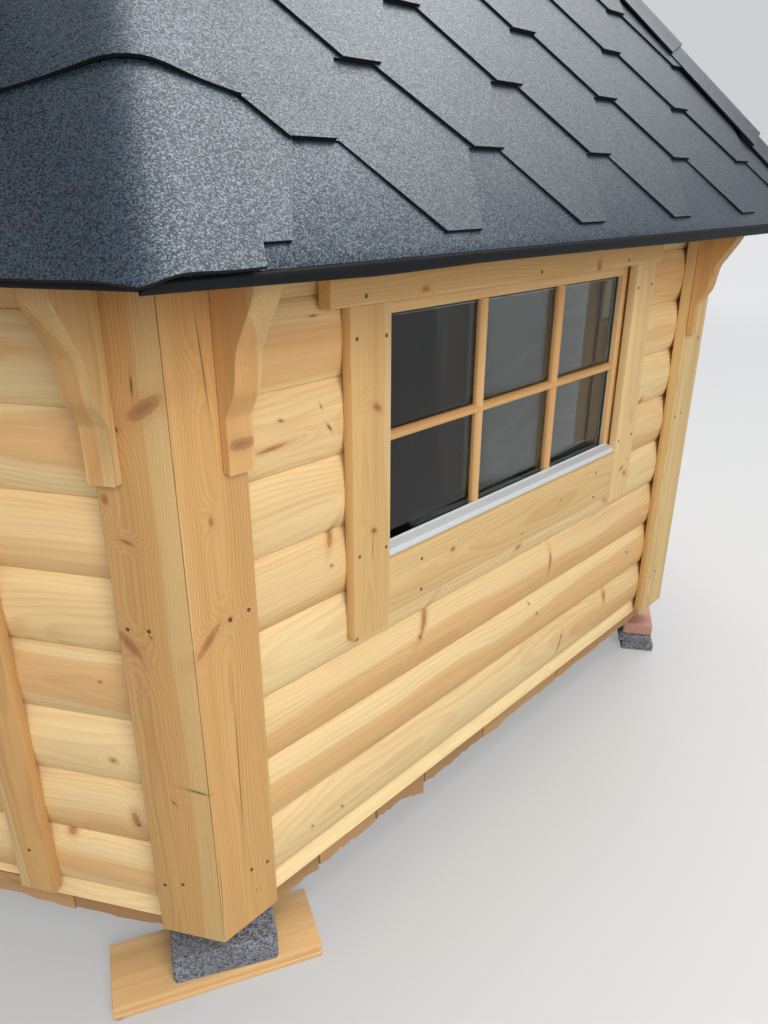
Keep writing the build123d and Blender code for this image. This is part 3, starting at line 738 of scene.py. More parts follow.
# Floor: tongued planks 86 mm wide that run from front to back across the joists, cut off along the
# six walls. Their sawn ends show below the logs as part of a brown band.
rough_wood = wood("sawn_floor_wood", (196, 158, 110), (178, 132, 88), (140, 96, 60), 0.4, 0.5,
                  rough=0.8, spread=0.3)
plank_width = 0.0862
plank_gap = 0.0006
floor_reach = 1.682
floor_under, floor_top = 0.1436, 0.1646
stock = Stock()
count = int(wall_length / plank_width) + 1
for i in range(-count, count):
    x0, x1 = max(i * plank_width, -floor_reach), min((i + 1) * plank_width - plank_gap, floor_reach)
    if x1 - x0 < 0.01:
        continue
    short = rng.uniform(0.0005, 0.0025)

    def end_of(x, z):
        """Where the hexagon of the floor ends in front of x: on its flat side or its slanting one."""
        return np.minimum(inradius, (wall_length - np.abs(x)) * math.sqrt(3)) - short

    saw(stock, lambda y, x, z: np.stack([x, y, z], axis=-1),
        plank((x0, floor_under), (x1, floor_top), 0.0012), lambda x, z: -end_of(x, z), end_of, 0.0006)
stock.piece("floor_planks", "hut", [rough_wood], ["floor_boards"])


# Floor rim: rough sawn lengths under the edge of the floor, butted with gaps that differ, their
# lower edges left waney, one of them deeper than the rest.
rim_wood = wood("waney_rim_wood", (192, 152, 108), (172, 130, 88), (136, 98, 64), 0.3, 0.5,
                rough=0.85, spread=0.35)
rim_face, rim_inside = -0.003, -0.051
rim_foot, rim_top = 0.0985, 0.1433
rim_gap = 0.0025
support_clearance = 0.0968
deep_wall, deep_number = 1, 2
near_joints = [-0.5975, -0.4255, -0.2585, -0.0255, 0.3255]
steps = np.linspace(0, 1, 15)
out = np.array([rim_inside, rim_face - 0.002, rim_face, rim_face, rim_face - 0.002, rim_inside])
rise = np.array([0, 0, 0.003, 1, 1, 1])
stock = Stock()
for k in range(6):
    joints = near_joints if k == 1 else np.cumsum(rng.uniform(0.17, 0.42, 12)) - 0.84
    ends = [None] + [x for x in joints if -0.72 < x < 0.72] + [None]
    for number, (start, end) in enumerate(zip(ends, ends[1:])):
        tree = Tree()
        sides = []
        for reach in (rim_face, rim_inside):
            left = -mitre(reach) if start is None else start + rim_gap
            right = mitre(reach) if end is None else end - rim_gap
            sides.append((left + (right - left) * steps)[:, None])
        droop, turns, phase = rng.uniform(0.0, 0.008), rng.uniform(3, 7), rng.uniform(0, 6)
        wave = droop + 0.004 * np.sin(steps * turns + phase) * (steps * (1 - steps) * 4)
        foot = rim_foot + np.abs(wave) + rng.uniform(-0.002, 0.006, len(steps))
        if (k, number) == (deep_wall, deep_number):
            foot = foot + 0.004 - 0.034 * np.clip((steps - 0.25) / 0.75, 0, 1) ** 1.5
        if start is None or end is None:
            foot = np.maximum(foot, support_clearance)
        x = np.where(out > -0.02, *sides)
        z = np.where(rise == 1, rim_top - (out > rim_face - 0.001) * 0.002, foot[:, None] + rise)
        grain = np.stack(np.broadcast_arrays(x, z, out), axis=-1) + tree.shift
        stock.take(in_wall(k, x, out, z), grain, tree.tone)
stock.piece("floor_rim_lengths", "hut", [rim_wood], ["floor_rim"])
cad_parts["floor_joists"].material_slots[0].material = wood(
    "joist_wood", (196, 158, 110), (178, 132, 88), (140, 96, 60), 0.3, 0.5, "XYZ", 0.8)


# Roof boards: planed boards 95 mm wide nailed side by side from eave to tip on each of the six
# slopes, mitred on the hips; the front slope is open where the dormer stands.
ridge_height = eave_height + eave_out * roof_slope
dormer_cut_half = 0.5488
dormer_cut_out = -0.11435
smoke_half = 0.167
smoke_out = smoke_half - inradius
board_width = 0.095
board_end = 0.262
board_under, board_top = -0.0240, -0.0063


def roof_out(s, h=0.0):
    """Distance outwards from the distance up the slope and the distance off it."""
    return h * math.sin(pitch) - s * math.cos(pitch)


def on_roof(k, x, s, h):
    """Points of slope k from the distance along the wall, the distance up the slope from above the
    wall's valleys and the distance off the covering's upper face."""
    s, h = np.broadcast_arrays(s, h)
    return in_wall(k, x, roof_out(s, h), ridge_height + s * math.sin(pitch) + h * math.cos(pitch))


def plumb_end(h):
    """Where a board that is cut upright at the eave ends, as a distance up the slope."""
    return (h * math.sin(pitch) - board_end) / math.cos(pitch)


roof_wood = wood("roof_board_spruce", (226, 188, 130), (214, 166, 106), (182, 130, 76), 0.4, 0.45)
board_eave = plumb_end(board_top)
top_s = -smoke_out / math.cos(pitch) - 0.010
stock = Stock()
for k in range(6):
    place = lambda x, s, h: on_roof(k, x, s, h)
    for row in range(int(math.ceil((top_s - board_eave) / board_width))):
        low = board_eave + row * board_width
        high = min(low + board_width, top_s) - 0.0006
        section = plank((low, board_under), (high, board_top), 0.003)
        if row == 0:
            section = eased([(plumb_end(board_under), board_under), (high, board_under), (high, board_top),
                             (low, board_top)], 0.0015, 2)
        tree = Tree()
        whole = k != 0 or roof_out(low) < dormer_cut_out - 0.002
        for start, end in [(None, None)] if whole else [(None, -dormer_cut_half), (dormer_cut_half, None)]:
            saw(stock, place, section,
                (lambda s, h: -mitre(roof_out(s, h))) if start is None else start,
                (lambda s, h: mitre(roof_out(s, h))) if end is None else end, 0.0006, tree)
sides_of_hut = ("front", "right_front", "right_back", "back", "left_back", "left_front")
stock.piece("roof_planks", "hut", [roof_wood],
            [side + "_roof_boards" for side in sides_of_hut])


# Shingles: strips of bitumen felt with slate granules, cut in hexagons 333 mm apart with 75 mm
# flats. Each strip lies over the one below and is offset by half a hexagon, and the cut edges
# show black bitumen. A starter strip with a straight edge lies under the first row.
granules, shader, place = new_material("slate_granules")
tone = place.node("ShaderNodeAttribute", {"attribute_name": "tone"}, {}, "Vector")
pick = place.node("ShaderNodeTexVoronoi", {}, {"Vector": place, "Scale": 640.0}, "Color")
cloudy = place.noise(9.0, 1.0)
colour = pick.part(0).rise(0.1, 1.2).blend(paint(2, 10, 20), paint(42, 64, 82))
facet = pick.part(1).rise(0.64, 0.78)
colour = facet.blend(colour, paint(88, 94, 102))
granules.node_tree.links.new(facet.output, shader.inputs["Metallic"])
apply_finish(shader, colour.scaled(0.9 + tone.part(1) * 0.14 + (cloudy - 0.5) * 0.2),
             0.40 + pick.part(2) * 0.14, place.noise(700.0, 0.0), 0.1, 0.0005)
shader.inputs["Specular IOR Level"].default_value = 0.27
bitumen = plain_finish("cut_bitumen", 700.0, 2.0, (5, 6, 8), (14, 16, 19), 0.5, 0.3, 0.4, 0.0006,
                       specular=0.2)

exposure = 0.145
period = 0.333
flat_half = 0.0375
strip_rise = 0.0088
strip_thickness = 0.0041
strip_reach = 2 * exposure + 0.016
strip_bed, strip_lowest = -0.006, -0.0062


def starter_section(edge, lie, far, low, high):
    """Section of a starter strip. From its lower edge, between the heights low and high, it comes to lie
    on the boards and runs up them to its far edge."""
    return [(edge, low), (lie, -0.0058), (far, -0.0060), (far, -0.0042), (lie, -0.0014), (edge, high)]


def shingle_rows(stock, place, rows, bottom, top, left, right, first_flat, cut_low=None, slip=0.0):
    """Strips of shingles on one slope. The lower edge of a strip goes flat, slanting up, flat and
    slanting down in turn. left and right bound the slope as (u at s = 0, growth of u with s). slip moves
    the first hexagon of the second and third rows, which begin a new strip."""
    for row in rows:
        low = bottom + row * exposure
        high = min(low + strip_reach, top)
        if high - low < 0.02:
            continue
        shift = first_flat + row * (period / 2 + 0.0115) + rng.uniform(-0.004, 0.004)
        turns = shift + period * np.arange(-12, 13)[:, None] + np.array(
            [-flat_half, flat_half, period / 2 - flat_half, period / 2 + flat_half])
        turns = turns - slip * (turns < -0.43) * (row in (1, 2))
        edge = np.broadcast_to(low + exposure * np.array([0, 0, 1.0, 1.0]), turns.shape)

        def limits(u):
            """The strip's lower and upper edge at u, cut off by the slope's own sides."""
            lower = np.interp(u, turns.ravel(), edge.ravel())
            if cut_low is not None:
                lower = np.maximum(lower, cut_low)
            upper = np.full_like(u, high)
            for (at, growth), way in ((left, 1), (right, -1)):
                if abs(growth) < 1e-9:
                    upper = np.where(way * (u - at) < -1e-9, lower - 1, upper)
                elif way * growth > 0:
                    upper = np.minimum(upper, (u - at) / growth)
                else:
                    lower = np.maximum(lower, (u - at) / growth)
            return lower, upper

        spots = [turns.ravel()] + [np.array([at + growth * s for s in (low, high, low + exposure, top)])
                                   for at, growth in (left, right)]
        trial = np.linspace(-2.4, 2.4, 9601)
        lower, upper = limits(trial)
        wide = upper - lower
        if wide.max() < 0.004:
            continue
        change = np.nonzero((wide[1:] > 0.001) != (wide[:-1] > 0.001))[0]
        before, after = wide[change], wide[change + 1]
        part = (0.001 - before) / (after - before)
        spots.append(np.where(np.abs(after - before) > 0.01,
                              np.where(before > 0.001, trial[change], trial[change + 1]),
                              trial[change] + part * (trial[1] - trial[0])))
        u = np.unique(np.round(np.concatenate(spots), 5))
        lower, upper = limits(u)
        keep = upper - lower > 0.0006
        u, lower, upper = u[keep], lower[keep], upper[keep]
        if len(u) < 2:
            continue
        s = np.stack([lower, (lower + upper) / 2, upper, upper, lower], axis=-1)
        lift = strip_rise * (1 - (s - low) / strip_reach)
        h = strip_bed + lift - np.array([0, 0, 0, strip_thickness, strip_thickness])
        h = np.maximum(h, strip_lowest)
        stock.take(place(np.broadcast_to(u[:, None], s.shape), s, h), np.zeros(3), rng.random(3), (2, 3, 4))


hip_hold = 0.030
eave_s = -eave_out / math.cos(pitch)
first_row = -0.3840
growth = math.cos(pitch) / math.sqrt(3)
side_at = half_wall - hip_hold * 1.075
first_flats = [0.05, -0.1975, 0.11, -0.07, 0.02, 0.14]
starter = starter_section(eave_s - 0.002, eave_s + 0.010, eave_s + 0.20, -0.0085, -0.0050)
hips = ((-side_at, growth), (side_at, -growth))
beside = (hips[0], (-dormer_cut_half, 0.0)), ((dormer_cut_half, 0.0), hips[1])
cut_s = -dormer_cut_out / math.cos(pitch)
stock = Stock()
for k in range(6):
    place = lambda u, s, h: on_roof(k, u, s, h)
    for left, right in (beside if k == 0 else [hips]):
        saw(stock, place, starter, lambda s, h: left[0] + left[1] * s, lambda s, h: right[0] + right[1] * s,
            0.0005, second=(0, 1, 2, 5))
    if k:
        shingle_rows(stock, place, range(16), first_row, top_s, *hips, first_flats[k], slip=0.017 * (k == 1))
    else:
        for left, right in beside:
            shingle_rows(stock, place, range(4), first_row, top_s, left, right, first_flats[k])
        shingle_rows(stock, place, range(1, 4), first_row, top_s, (-dormer_cut_half, 0.0),
                     (dormer_cut_half, 0.0), first_flats[k], cut_s)
        shingle_rows(stock, place, range(4, 16), first_row, top_s, *hips, first_flats[k])
stock.piece("shingle_strips", "hut", [granules, bitumen], ["roof_shingles"])


# Hip caps: single hexagon tabs folded over the hips, 250 mm across, each lapping the one below by
# a few centimetres. The fold is a soft bend, and the lowest cap is trimmed along the eave.
fold_half = math.acos(math.sin(pitch) ** 2 * 0.5 + math.cos(pitch) ** 2) / 2
fold_radius = 0.085
cap_left = 0.130
cap_right = 0.125
cap_exposure = 0.300
cap_length = 0.345
cap_thickness = 0.0045
hip_run = math.hypot(2 / math.sqrt(3), roof_slope)
hip_length = (eave_out - smoke_out) * hip_run


def on_hip(k, t, v, h):
    """Points over the hip between walls k and k + 1: t up along the hip from the eave, v across it on
    the felt, h off the roof boards. Across, the felt is an arc of the fold's radius that runs out
    straight on both slopes."""
    turn = math.radians(60 * k - 60)
    flat = np.array([math.cos(turn), math.sin(turn), 0])
    side = np.array([-math.sin(turn), math.cos(turn), 0])
    climb = (np.array([0, 0, roof_slope]) - flat * 2 / math.sqrt(3)) / hip_run
    lift = np.cross(side, climb)
    t, v, h = np.broadcast_arrays(t, v, h)
    bend = np.clip(v / fold_radius, -fold_half, fold_half)
    rest = v - bend * fold_radius
    crest = h / math.cos(fold_half) - (fold_radius + h) * (1 / math.cos(fold_half) - 1)
    across = (fold_radius + h) * np.sin(bend) + rest * math.cos(fold_half)
    up = crest - (fold_radius + h) * (1 - np.cos(bend)) - np.abs(rest) * math.sin(fold_half)
    drop = 0.006 / math.cos(pitch)
    foot = flat * (inradius + eave_out) * 2 / math.sqrt(3) + np.array([0, 0, eave_height - drop])
    return foot + t[..., None] * climb + across[..., None] * side + up[..., None] * lift


columns = np.linspace(-1, 1, 41)
columns = np.sign(columns) * np.abs(columns) ** 0.85
rows_up = np.linspace(0, 1, 7)
stock = Stock()
for k in range(6):
    start = -0.012
    index = 0
    while start < hip_length - 0.03:
        stop = min(start + cap_length, hip_length - 0.004)
        wide_left, wide_right = (0.160, 0.119 if index else 0.110) if k == 0 else (cap_left, cap_right)
        tone = rng.random(3)
        skew = -0.002 if (k, index) == (0, 1) else rng.uniform(-0.003, 0.003)
        low = np.full_like(columns, start)
        if index == 0:
            half = np.where(columns < 0, wide_left, wide_right) * np.abs(columns)
            tip = np.abs(np.where(columns < 0, -half, half) + 0.011)
            low = tip * 0.394 - 0.004 - 0.007 * np.exp(-(tip / 0.026) ** 2)
        t = low[:, None] + (stop - low)[:, None] * rows_up + skew * columns[:, None]
        room = ((hip_length - t) / hip_run + smoke_half) / math.sqrt(3) * 0.92
        v = columns[:, None] * np.minimum(np.where(columns[:, None] < 0, wide_left, wide_right), room)
        lift = 0.0160 - 0.0065 * np.clip((t - start) / cap_length, 0, 1)
        lift = lift + 0.0016 * np.cos(columns * math.pi * 1.5)[:, None] * (1 - rows_up)
        outer = on_hip(k, t, v, lift)
        inner = on_hip(k, t, v, np.maximum(lift - cap_thickness, 0.001))
        stock.take(np.concatenate([outer, inner[:, ::-1]], axis=1), np.zeros(3), tone,
                   tuple(range(len(rows_up) - 1, 2 * len(rows_up))))
        start += cap_exposure + (0.0065 if index == 0 else 0)
        index += 1
stock.piece("hip_caps", "hut", [granules, bitumen], [])


# Eaves felt: a strip of black felt folded over the ends of the roof boards, glossy on its rounded
# nose, that drips clear of the logs.
edge_felt = plain_finish("glossy_edge_felt", 60.0, 3.0, (8, 10, 12), (18, 21, 25), 0.48, 0.2, 0.25, 0.001,
                         specular=0.15)
felt_top = 0.20
nose = eave_height + (eave_out - felt_top) * roof_slope
fold = [(nose - 0.0076, felt_top), (1.3532, 0.2765), (1.3505, 0.2795), (1.3460, 0.2803), (1.3400, 0.2795),
        (1.3374, 0.2765), (1.3372, 0.2720), (1.3395, 0.2655), (1.3420, 0.2622), (1.3681, 0.2622),
        (nose - 0.0092, felt_top)]
sag_at = (-1.0, -0.8, -0.7, -0.5, -0.2, 0.15, 1.0)
sag = {0: (-0.004, 0.001, -0.001, 0.001, 0.002, -0.002, -0.0045),
       1: (-0.003, 0.001, 0.003, 0.0005, 0.002, 0.005, 0.006)}
height, out = eased(fold, 0.004, 3).T
hanging = np.clip((1.352 - height) / 0.012, 0, 1)
stock = Stock()
for k in range(6):
    droop = sag.get(k, rng.uniform(-0.001, 0.003, 7))
    for start, end in [(-1, 1)] if k else [(-1, -dormer_cut_half), (dormer_cut_half, 1)]:
        lap = 0.019 * hanging if k == 1 else 0
        first = -mitre(out) - lap if start == -1 else np.full_like(out, start)
        last = mitre(out) if end == 1 else np.full_like(out, end)
        x = first + (last - first) * np.linspace(0, 1, 41)[:, None]
        fallen = height - hanging * np.interp(x, sag_at, droop)
        stock.take(in_wall(k, x, out, fallen), np.zeros(3), np.full(3, 0.5))
stock.piece("eaves_felt", "hut", [edge_felt], ["drip_edges"])


# Dormer over the door: boarded cheeks and gable, boards along its two low slopes and the same
# shingles, running back until they meet the front slope.
lean = math.radians(25)
dormer_half = 0.6188
dormer_rise = math.tan(lean)
dormer_plumb = 1 / math.cos(lean)
dormer_run = dormer_half * dormer_plumb
plate = 1.7547
joint_half = 0.0003


def gable_height(x, above=0.0):
    """Height of a layer of the dormer roof at a distance from its middle line."""
    return plate + 0.0003 + (dormer_cut_half - np.abs(x)) * dormer_rise + above * dormer_plumb


def main_roof_out(z, clear=0.0006):
    """How far out the front slope's covering lies at a height."""
    return eave_out - (z - eave_height - clear) / roof_slope


cheek_drop = 0.0237 / math.cos(pitch)
cheek_front = 0.272
cheek_span = (0.5275, 0.5485)
cheek_board = 0.095


def cheek_back(z, x):
    """Where a cheek board ends behind: under the front slope's boards, and in front of the cut in them."""
    under_slope = eave_out - (z + cheek_drop - eave_height) / roof_slope
    return np.maximum(np.minimum(0.268, under_slope), dormer_cut_out + 0.001)


stock = Stock()
for left, right in both_sides(*cheek_span):
    bottom = eave_height + (eave_out - cheek_front) * roof_slope - cheek_drop
    for low in np.arange(bottom, plate - 0.01, cheek_board):
        high = min(low + 0.0945, plate)
        saw(stock, lambda out, z, x: in_wall(0, x, out, z), plank((low, left), (high, right), 0.003),
            cheek_back, cheek_front, 0.0004)
stock.piece("dormer_cheek_boards", "hut", [casing_wood], ["dormer_cheeks"])
gable_half, gable_foot, gable_board = 0.5265, 1.7267, 0.021
stock = Stock()
lows = np.linspace(-gable_half, gable_half, 12)
for x0, x1 in zip(lows, lows[1:]):
    saw(stock, upright(0), plank((x0 + joint_half, -gable_board), (x1 - joint_half, 0.0), 0.003), gable_foot,
        lambda x, out: gable_height(x) - 0.001, 0.0004)
stock.piece("dormer_gable_boards", "hut", [casing_wood], ["dormer_gable"])


def on_dormer(side, u, s, h):
    """Points of a dormer slope: u outwards over the door, s up the slope from its eave, h off the
    underside of its boards."""
    u, s, h = np.broadcast_arrays(u, s, h)
    x = dormer_half - s * math.cos(lean) + h * math.sin(lean)
    z = gable_height(dormer_half) + s * math.sin(lean) + h * math.cos(lean)
    return in_wall(0, side * x, u, z)


boards_front, felt_front = 0.279, 0.284
stock = Stock()
for side in (-1, 1):
    widths = np.linspace(0.0, dormer_run, 8)
    for s0, s1 in zip(widths, widths[1:]):
        top = s1 - (joint_half if s1 < dormer_run - 0.001 else 0.0005)
        section = [(min(s, dormer_run - 0.0004 + h * dormer_rise), h)
                   for s, h in plank((s0 + joint_half, 0.0), (top, 0.018), 0.0015)]
        saw(stock, lambda u, s, h: on_dormer(side, u, s, h), section,
            lambda s, h: main_roof_out(on_dormer(side, 0.0, s, h)[..., 2]), boards_front, 0.0006)
stock.piece("dormer_roof_planks", "hut", [roof_wood], ["dormer_roof_boards"])

base_z = float(gable_height(dormer_half)) + covering * math.cos(lean)
slide = -math.sin(lean) / roof_slope
back = (float(main_roof_out(base_z, 0.004)), slide)
starter = starter_section(-0.012, 0.0, 0.20, -0.0075, -0.0040)
stock = Stock()
for side in (-1, 1):
    place = lambda u, s, h: on_dormer(side, u, s, h + 0.0246)
    saw(stock, place, starter, lambda s, h: back[0] + slide * s, felt_front, 0.0005, second=(0, 1, 2, 5))
    shingle_rows(stock, place, range(5), -0.012, dormer_run + 0.004, back, (felt_front, 0.0), 0.03)
stock.piece("dormer_shingle_strips", "hut", [granules, bitumen], ["dormer_shingles"])

ridge_z = float(gable_height(0.0, covering))
ridge_radius = 0.06
ridge_cap_length = 0.235
ridge_cap_exposure = 0.20
ridge_cap_half = 0.105
ridge_back = -0.385
start = 0.287
stock = Stock()
while start > -0.36:
    u = np.linspace(start, max(start - ridge_cap_length, ridge_back), 5)
    v = np.linspace(-ridge_cap_half, ridge_cap_half, 17)
    bend = np.clip(v / ridge_radius, -lean, lean)
    rest = v - bend * ridge_radius
    lift = 0.012 - 0.009 * (start - u) / ridge_cap_length
    rings = []
    for thick in (0.0, cap_thickness):
        reach = ridge_radius + lift[None, :] - thick
        x = reach * np.sin(bend)[:, None] + (rest * math.cos(lean))[:, None]
        z = ridge_z + (lift - thick)[None, :] / math.cos(lean) - reach * (1 / math.cos(lean) - 1)
        z = z - reach * (1 - np.cos(bend))[:, None] - (np.abs(rest) * math.sin(lean))[:, None]
        rings.append(in_wall(0, x, u[None, :], z))
    stock.take(np.concatenate([rings[0], rings[1][:, ::-1]], axis=1), np.zeros(3), rng.random(3),
               tuple(range(4, 10)))
    start -= ridge_cap_exposure
stock.piece("dormer_ridge_caps", "hut", [granules, bitumen], [])


# Smoke hat: a six-sided wooden collar round the hole in the roof's tip, three posts and a small
# boarded pyramid above them with its own felt.
upright_wood = wood("hat_post_wood", (214, 176, 120), (200, 152, 98), (166, 116, 68), 0.3, 0.45, "ZXY")
for node in ("smoke_collar", "smoke_hat_posts"):
    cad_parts[node].material_slots[0].material = upright_wood
hat_lean = math.radians(35)
hat_reach = 0.270
hat_run = hat_reach / math.cos(hat_lean)
hat_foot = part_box("smoke_hat")[0][2]


def on_hat(k, x, s, h):
    """Points of a slope of the hat: x along its eave, s up the slope, h off its lower face."""
    s, h = np.broadcast_arrays(s, h)
    out = hat_reach - inradius - s * math.cos(hat_lean) + h * math.sin(hat_lean)
    return in_wall(k, x, out, hat_foot + s * math.sin(hat_lean) + h * math.cos(hat_lean))


def hat_half(s, h):
    """Half the width of a slope of the hat: its reach times the tangent of 30 degrees."""
    reach = hat_reach - s * math.cos(hat_lean) + h * math.sin(hat_lean)
    return np.maximum((reach - 0.0006) / math.sqrt(3), 0.001)


stock = Stock()
felt = Stock()
for k in range(6):
    place = lambda x, s, h: on_hat(k, x, s, h)
    lows = np.linspace(0.0, hat_run - 0.012, 5)
    for s0, s1 in zip(lows, lows[1:]):
        saw(stock, place, plank((s0 + joint_half, 0.0), (s1 - joint_half, 0.0175), 0.002),
            lambda s, h: -hat_half(s, h), hat_half, 0.0004)
    for s0, s1, foot in ((-0.006, 0.19, 0.0205), (0.145, hat_run + 0.002, 0.0215)):
        sheet = [(s0, foot + 0.0035), (s1, foot + 0.0005), (s1, foot - 0.003), (s0, foot - 0.0005)]
        saw(felt, place, sheet, lambda s, h: -hat_half(s, h), hat_half, 0.0004, second=(1, 2, 3))
stock.piece("smoke_hat_boards", "hut", [roof_wood], ["smoke_hat"])
felt.piece("smoke_hat_felt", "hut", [granules, bitumen], [])


# Supports: the corner by the door stands on a grey paver with bevelled edges on an offcut of
# board; the other five on two concrete slabs and a brick.
concrete, shader, place = new_material("grey_concrete")
stone = place.node("ShaderNodeTexVoronoi", {}, {"Vector": place, "Scale": 420.0}, "Color").part(0)
pits = place.noise(520.0, 3.0)
stain = place.noise(7.0, 3.0)
mottle = place.noise(120.0, 3.0)
dark_grey, light_grey = paint(74, 78, 86), paint(154, 158, 166)
colour = (stone * 0.35 + pits * 0.2 + mottle * 0.45).rise(0.35, 0.65).blend(dark_grey, light_grey)
colour = (stain.rise(0.45, 0.7) * 0.35).blend(colour, paint(88, 84, 80))
apply_finish(shader, colour, pits * 0.1 + 0.82, pits * 0.6 + stone * 0.4, 0.7, 0.0014)
clay, shader, place = new_material("pink_brick_clay")
sandy = place.noise(330.0, 4.0)
patch = place.noise(14.0, 2.0)
colour = (sandy * 0.5 + patch * 0.5).rise(0.3, 0.7).blend(paint(170, 120, 104), paint(206, 162, 144))
apply_finish(shader, colour, sandy * 0.1 + 0.82, sandy, 0.8, 0.0015)


def laid(stock, corner_angle, inwards, turn, size, foot, top, easing, aside, groove=()):
    """A block laid across the radius of a corner and moved aside along its length: size is its depth and
    length. groove holds further corners for its outer side."""
    a = math.radians(corner_angle)
    b = a + math.radians(turn)
    reach = wall_length - inwards
    centre = (reach * math.cos(a) - aside * math.sin(a), reach * math.sin(a) + aside * math.cos(a))

    def place(length, across, depth):
        x = centre[0] + across * math.cos(b) - length * math.sin(b)
        y = centre[1] + across * math.sin(b) + length * math.cos(b)
        return np.stack([x, y, depth], axis=-1)

    section = [(-size[0] / 2, foot), (size[0] / 2, foot), *groove, (size[0] / 2, top), (-size[0] / 2, top)]
    saw(stock, place, eased(section, easing, 3), -size[1] / 2, size[1] / 2, easing, Tree((0.005, 0.03)))


near_corner = -60
far_corners = [0, 60, 120, 180, 240]
support_top = 0.096
slab_size = (0.100, 0.200)
brick_size = (0.092, 0.190)
far_inwards, far_aside = 0.005, 0.045
stock = Stock()
laid(stock, near_corner, 0.047, 0, slab_size, 0.0323, support_top, 0.005, 0)
stock.piece("near_paver", "hut", [concrete], ["near_support_paver"])
for node, foot, top, turn in (("lower_support_slabs", 0.0, 0.028, 4),
                              ("upper_support_slabs", 0.0283, 0.0563, -3)):
    stock = Stock()
    for angle in far_corners:
        laid(stock, angle, far_inwards, turn, slab_size, foot, top, 0.003, far_aside)
    stock.piece(node + "_cast", "hut", [concrete], [node])
stock = Stock()
for angle in far_corners:
    laid(stock, angle, far_inwards, 0, brick_size, 0.0566, support_top, 0.004, far_aside)
stock.piece("support_brick_set", "hut", [clay], ["support_bricks"])
offcut_wood = wood("offcut_pine", (240, 206, 152), (230, 188, 132), (200, 152, 96), 0.5, 0.35)
stock = Stock()
offcut_size, offcut_top = (0.142, 0.400), 0.032
offcut_groove = [(0.071, 0.0115), (0.060, 0.0125), (0.060, 0.0190), (0.071, 0.0200)]
laid(stock, near_corner, 0.062, 3.2, offcut_size, 0.0, offcut_top, 0.0015, -0.017, offcut_groove)
stock.piece("near_offcut_board", "hut", [offcut_wood], ["near_support_board"])


# Screws: dark countersunk heads in pairs in the casings and corner boards, where the photograph
# shows them and as such boards are fixed elsewhere.
screw = plain_finish("dark_screw_heads", 900.0, 2.0, (50, 38, 26), (86, 70, 52), 0.45, 0.2, 0.2, 0.0002,
                     metallic=0.5)


def screw_head(stock, k, x, z, out, radius=0.0034):
    """A head on a board's face: rings that fall from the rim into a small recess."""
    turn = np.linspace(0, 2 * math.pi, 12, endpoint=False)
    rings = [in_wall(k, x + r * radius * np.cos(turn), out + h, z + r * radius * np.sin(turn))
             for r, h in ((1.0, -0.0008), (1.0, 0.0003), (0.8, 0.0006), (0.35, 0.0005), (0.25, -0.0002))]
    stock.take(np.array(rings), np.zeros(3), (0.5, 0.5, 0.5))


stock = Stock()
for k in range(6):
    for side in (-1, 1):
        for x, z in ((0.7655, 0.292), (0.7655, 0.817), (0.801, 0.819), (0.801, 0.300)):
            screw_head(stock, k, side * x, z + rng.uniform(-0.003, 0.003), board_face)
for k in window_walls:
    for side in (-1, 1):
        for x, z in ((0.5145, 1.206), (0.4455, 1.203), (0.513, 0.819), (0.444, 0.815)):
            screw_head(stock, k, side * x, z, casing_face)
        for z in (0.754, 0.686):
            screw_head(stock, k, side * 0.341, z, casing_face)
    for x in (-0.500, 0.0, 0.367):
        screw_head(stock, k, x, 1.272, board_face)
for side in (-1, 1):
    for z in (0.296, 0.95, 1.60):
        screw_head(stock, 0, side * 0.487, z, casing_face)
stock.piece("screw_heads", "hut", [screw], [])


# Studio: a plain pale floor, a wide soft key overhead that grazes the roof, a soft fill on the near
# corner and an even pale surround.
def seen_rays(tree):
    """1 for rays from the camera, in gloss or through glass, and 0 for those that only carry light."""
    rays = tree.nodes.new("ShaderNodeLightPath").outputs
    glossy = Socket(rays["Is Camera Ray"]).math("MAXIMUM", Socket(rays["Is Glossy Ray"]))
    return glossy.math("MAXIMUM", Socket(rays["Is Transmission Ray"]))


studio_reach = 30
corners = [(x * studio_reach, y * studio_reach, 0) for x, y in ((-1, -1), (1, -1), (1, 1), (-1, 1))]
floor_mesh = bpy.data.meshes.new("studio_floor")
floor_mesh.from_pydata(corners, [], [(0, 1, 2, 3)])
floor = bpy.data.objects.new("studio_floor", floor_mesh)
bpy.context.scene.collection.objects.link(floor)
floor_material, shader, place = new_material("pale_floor")
even = place.noise(0.4)
seen = seen_rays(floor_material.node_tree)
pale = even.rise(0.3, 0.7).blend((0.23, 0.225, 0.22, 1), (0.25, 0.245, 0.24, 1))
apply_finish(shader, seen.blend(pale, (0.33, 0.33, 0.33, 1)), even * 0.02 + 0.9, even, 0.0, 0.001)
far = place.vector("LENGTH", result="Value").rise(3.0, 11.0)
glow = seen.blend((0, 0, 0, 1), far.blend((0.27, 0.27, 0.27, 1), (0.56, 0.565, 0.57, 1)))
floor_material.node_tree.links.new(glow.output, shader.inputs["Emission Color"])
shader.inputs["Emission Strength"].default_value = 1.0
floor_mesh.materials.append(floor_material)

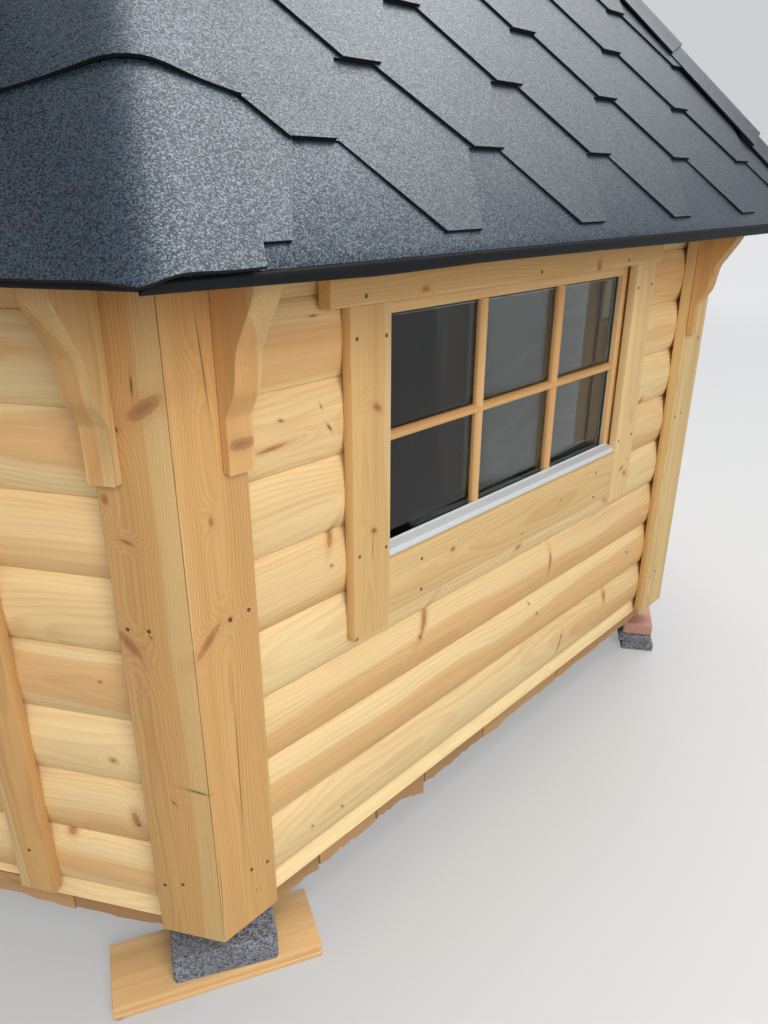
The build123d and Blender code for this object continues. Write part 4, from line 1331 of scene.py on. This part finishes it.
world = bpy.data.worlds.new("studio_surround")
bpy.context.scene.world = world
world.use_nodes = True
background = world.node_tree.nodes["Background"]
way = Socket(world.node_tree.nodes.new("ShaderNodeTexCoord").outputs["Generated"])
tint = way.part(2).rise(-0.1, 1.0).blend((0.38, 0.39, 0.41, 1), (0.66, 0.70, 0.76, 1))
tint = seen_rays(world.node_tree).blend(tint, (0.68, 0.69, 0.70, 1))
world.node_tree.links.new(tint.output, background.inputs["Color"])
background.inputs["Strength"].default_value = 0.9


def soft_box(name, position, size, power, colour):
    """A square area lamp aimed at the middle of the hut."""
    lamp = bpy.data.lights.new(name, "AREA")
    lamp.size = size
    lamp.energy = power
    lamp.color = colour
    holder = bpy.data.objects.new(name, lamp)
    holder.location = position
    aim = np.array([0.3, -0.5, 1.0]) - position
    tilt = math.acos(-aim[2] / np.linalg.norm(aim))
    holder.rotation_euler = (tilt, 0, math.atan2(aim[1], aim[0]) - math.pi / 2)
    holder.visible_camera = False
    bpy.context.scene.collection.objects.link(holder)


soft_box("overhead_key", np.array([2.2, 1.0, 6.8]), 5.0, 430, (1.0, 0.985, 0.96))
soft_box("back_key", np.array([2.9, 4.2, 5.4]), 3.4, 70, (1.0, 0.985, 0.96))
soft_box("front_fill", np.array([3.4, -4.5, 3.0]), 3.0, 178, (1.0, 0.98, 0.94))

# Camera: at eye height by the corner next to the door, at the photograph's angle.
eye = bpy.data.cameras.new("camera")
eye.sensor_fit = "VERTICAL"
eye.sensor_height = 36
eye.lens = 27.232
camera = bpy.data.objects.new("camera", eye)
eye_point = (1.3714, -2.3951, 1.435)
yaw, dip, roll = (math.radians(v) for v in (103.32, 23.02, -0.21))
ahead = np.array([math.cos(yaw) * math.cos(dip), math.sin(yaw) * math.cos(dip), -math.sin(dip)])
right = np.array([math.sin(yaw), -math.cos(yaw), 0])
down = np.cross(ahead, right)
right, down = math.cos(roll) * right + math.sin(roll) * down, math.cos(roll) * down - math.sin(roll) * right
matrix = np.eye(4)
matrix[:3, 0], matrix[:3, 1], matrix[:3, 2] = right, -down, -ahead
matrix[:3, 3] = eye_point
bpy.context.scene.collection.objects.link(camera)
camera.matrix_world = Matrix(matrix.tolist())
bpy.context.scene.camera = camera
bpy.context.scene.view_settings.view_transform = "Standard"
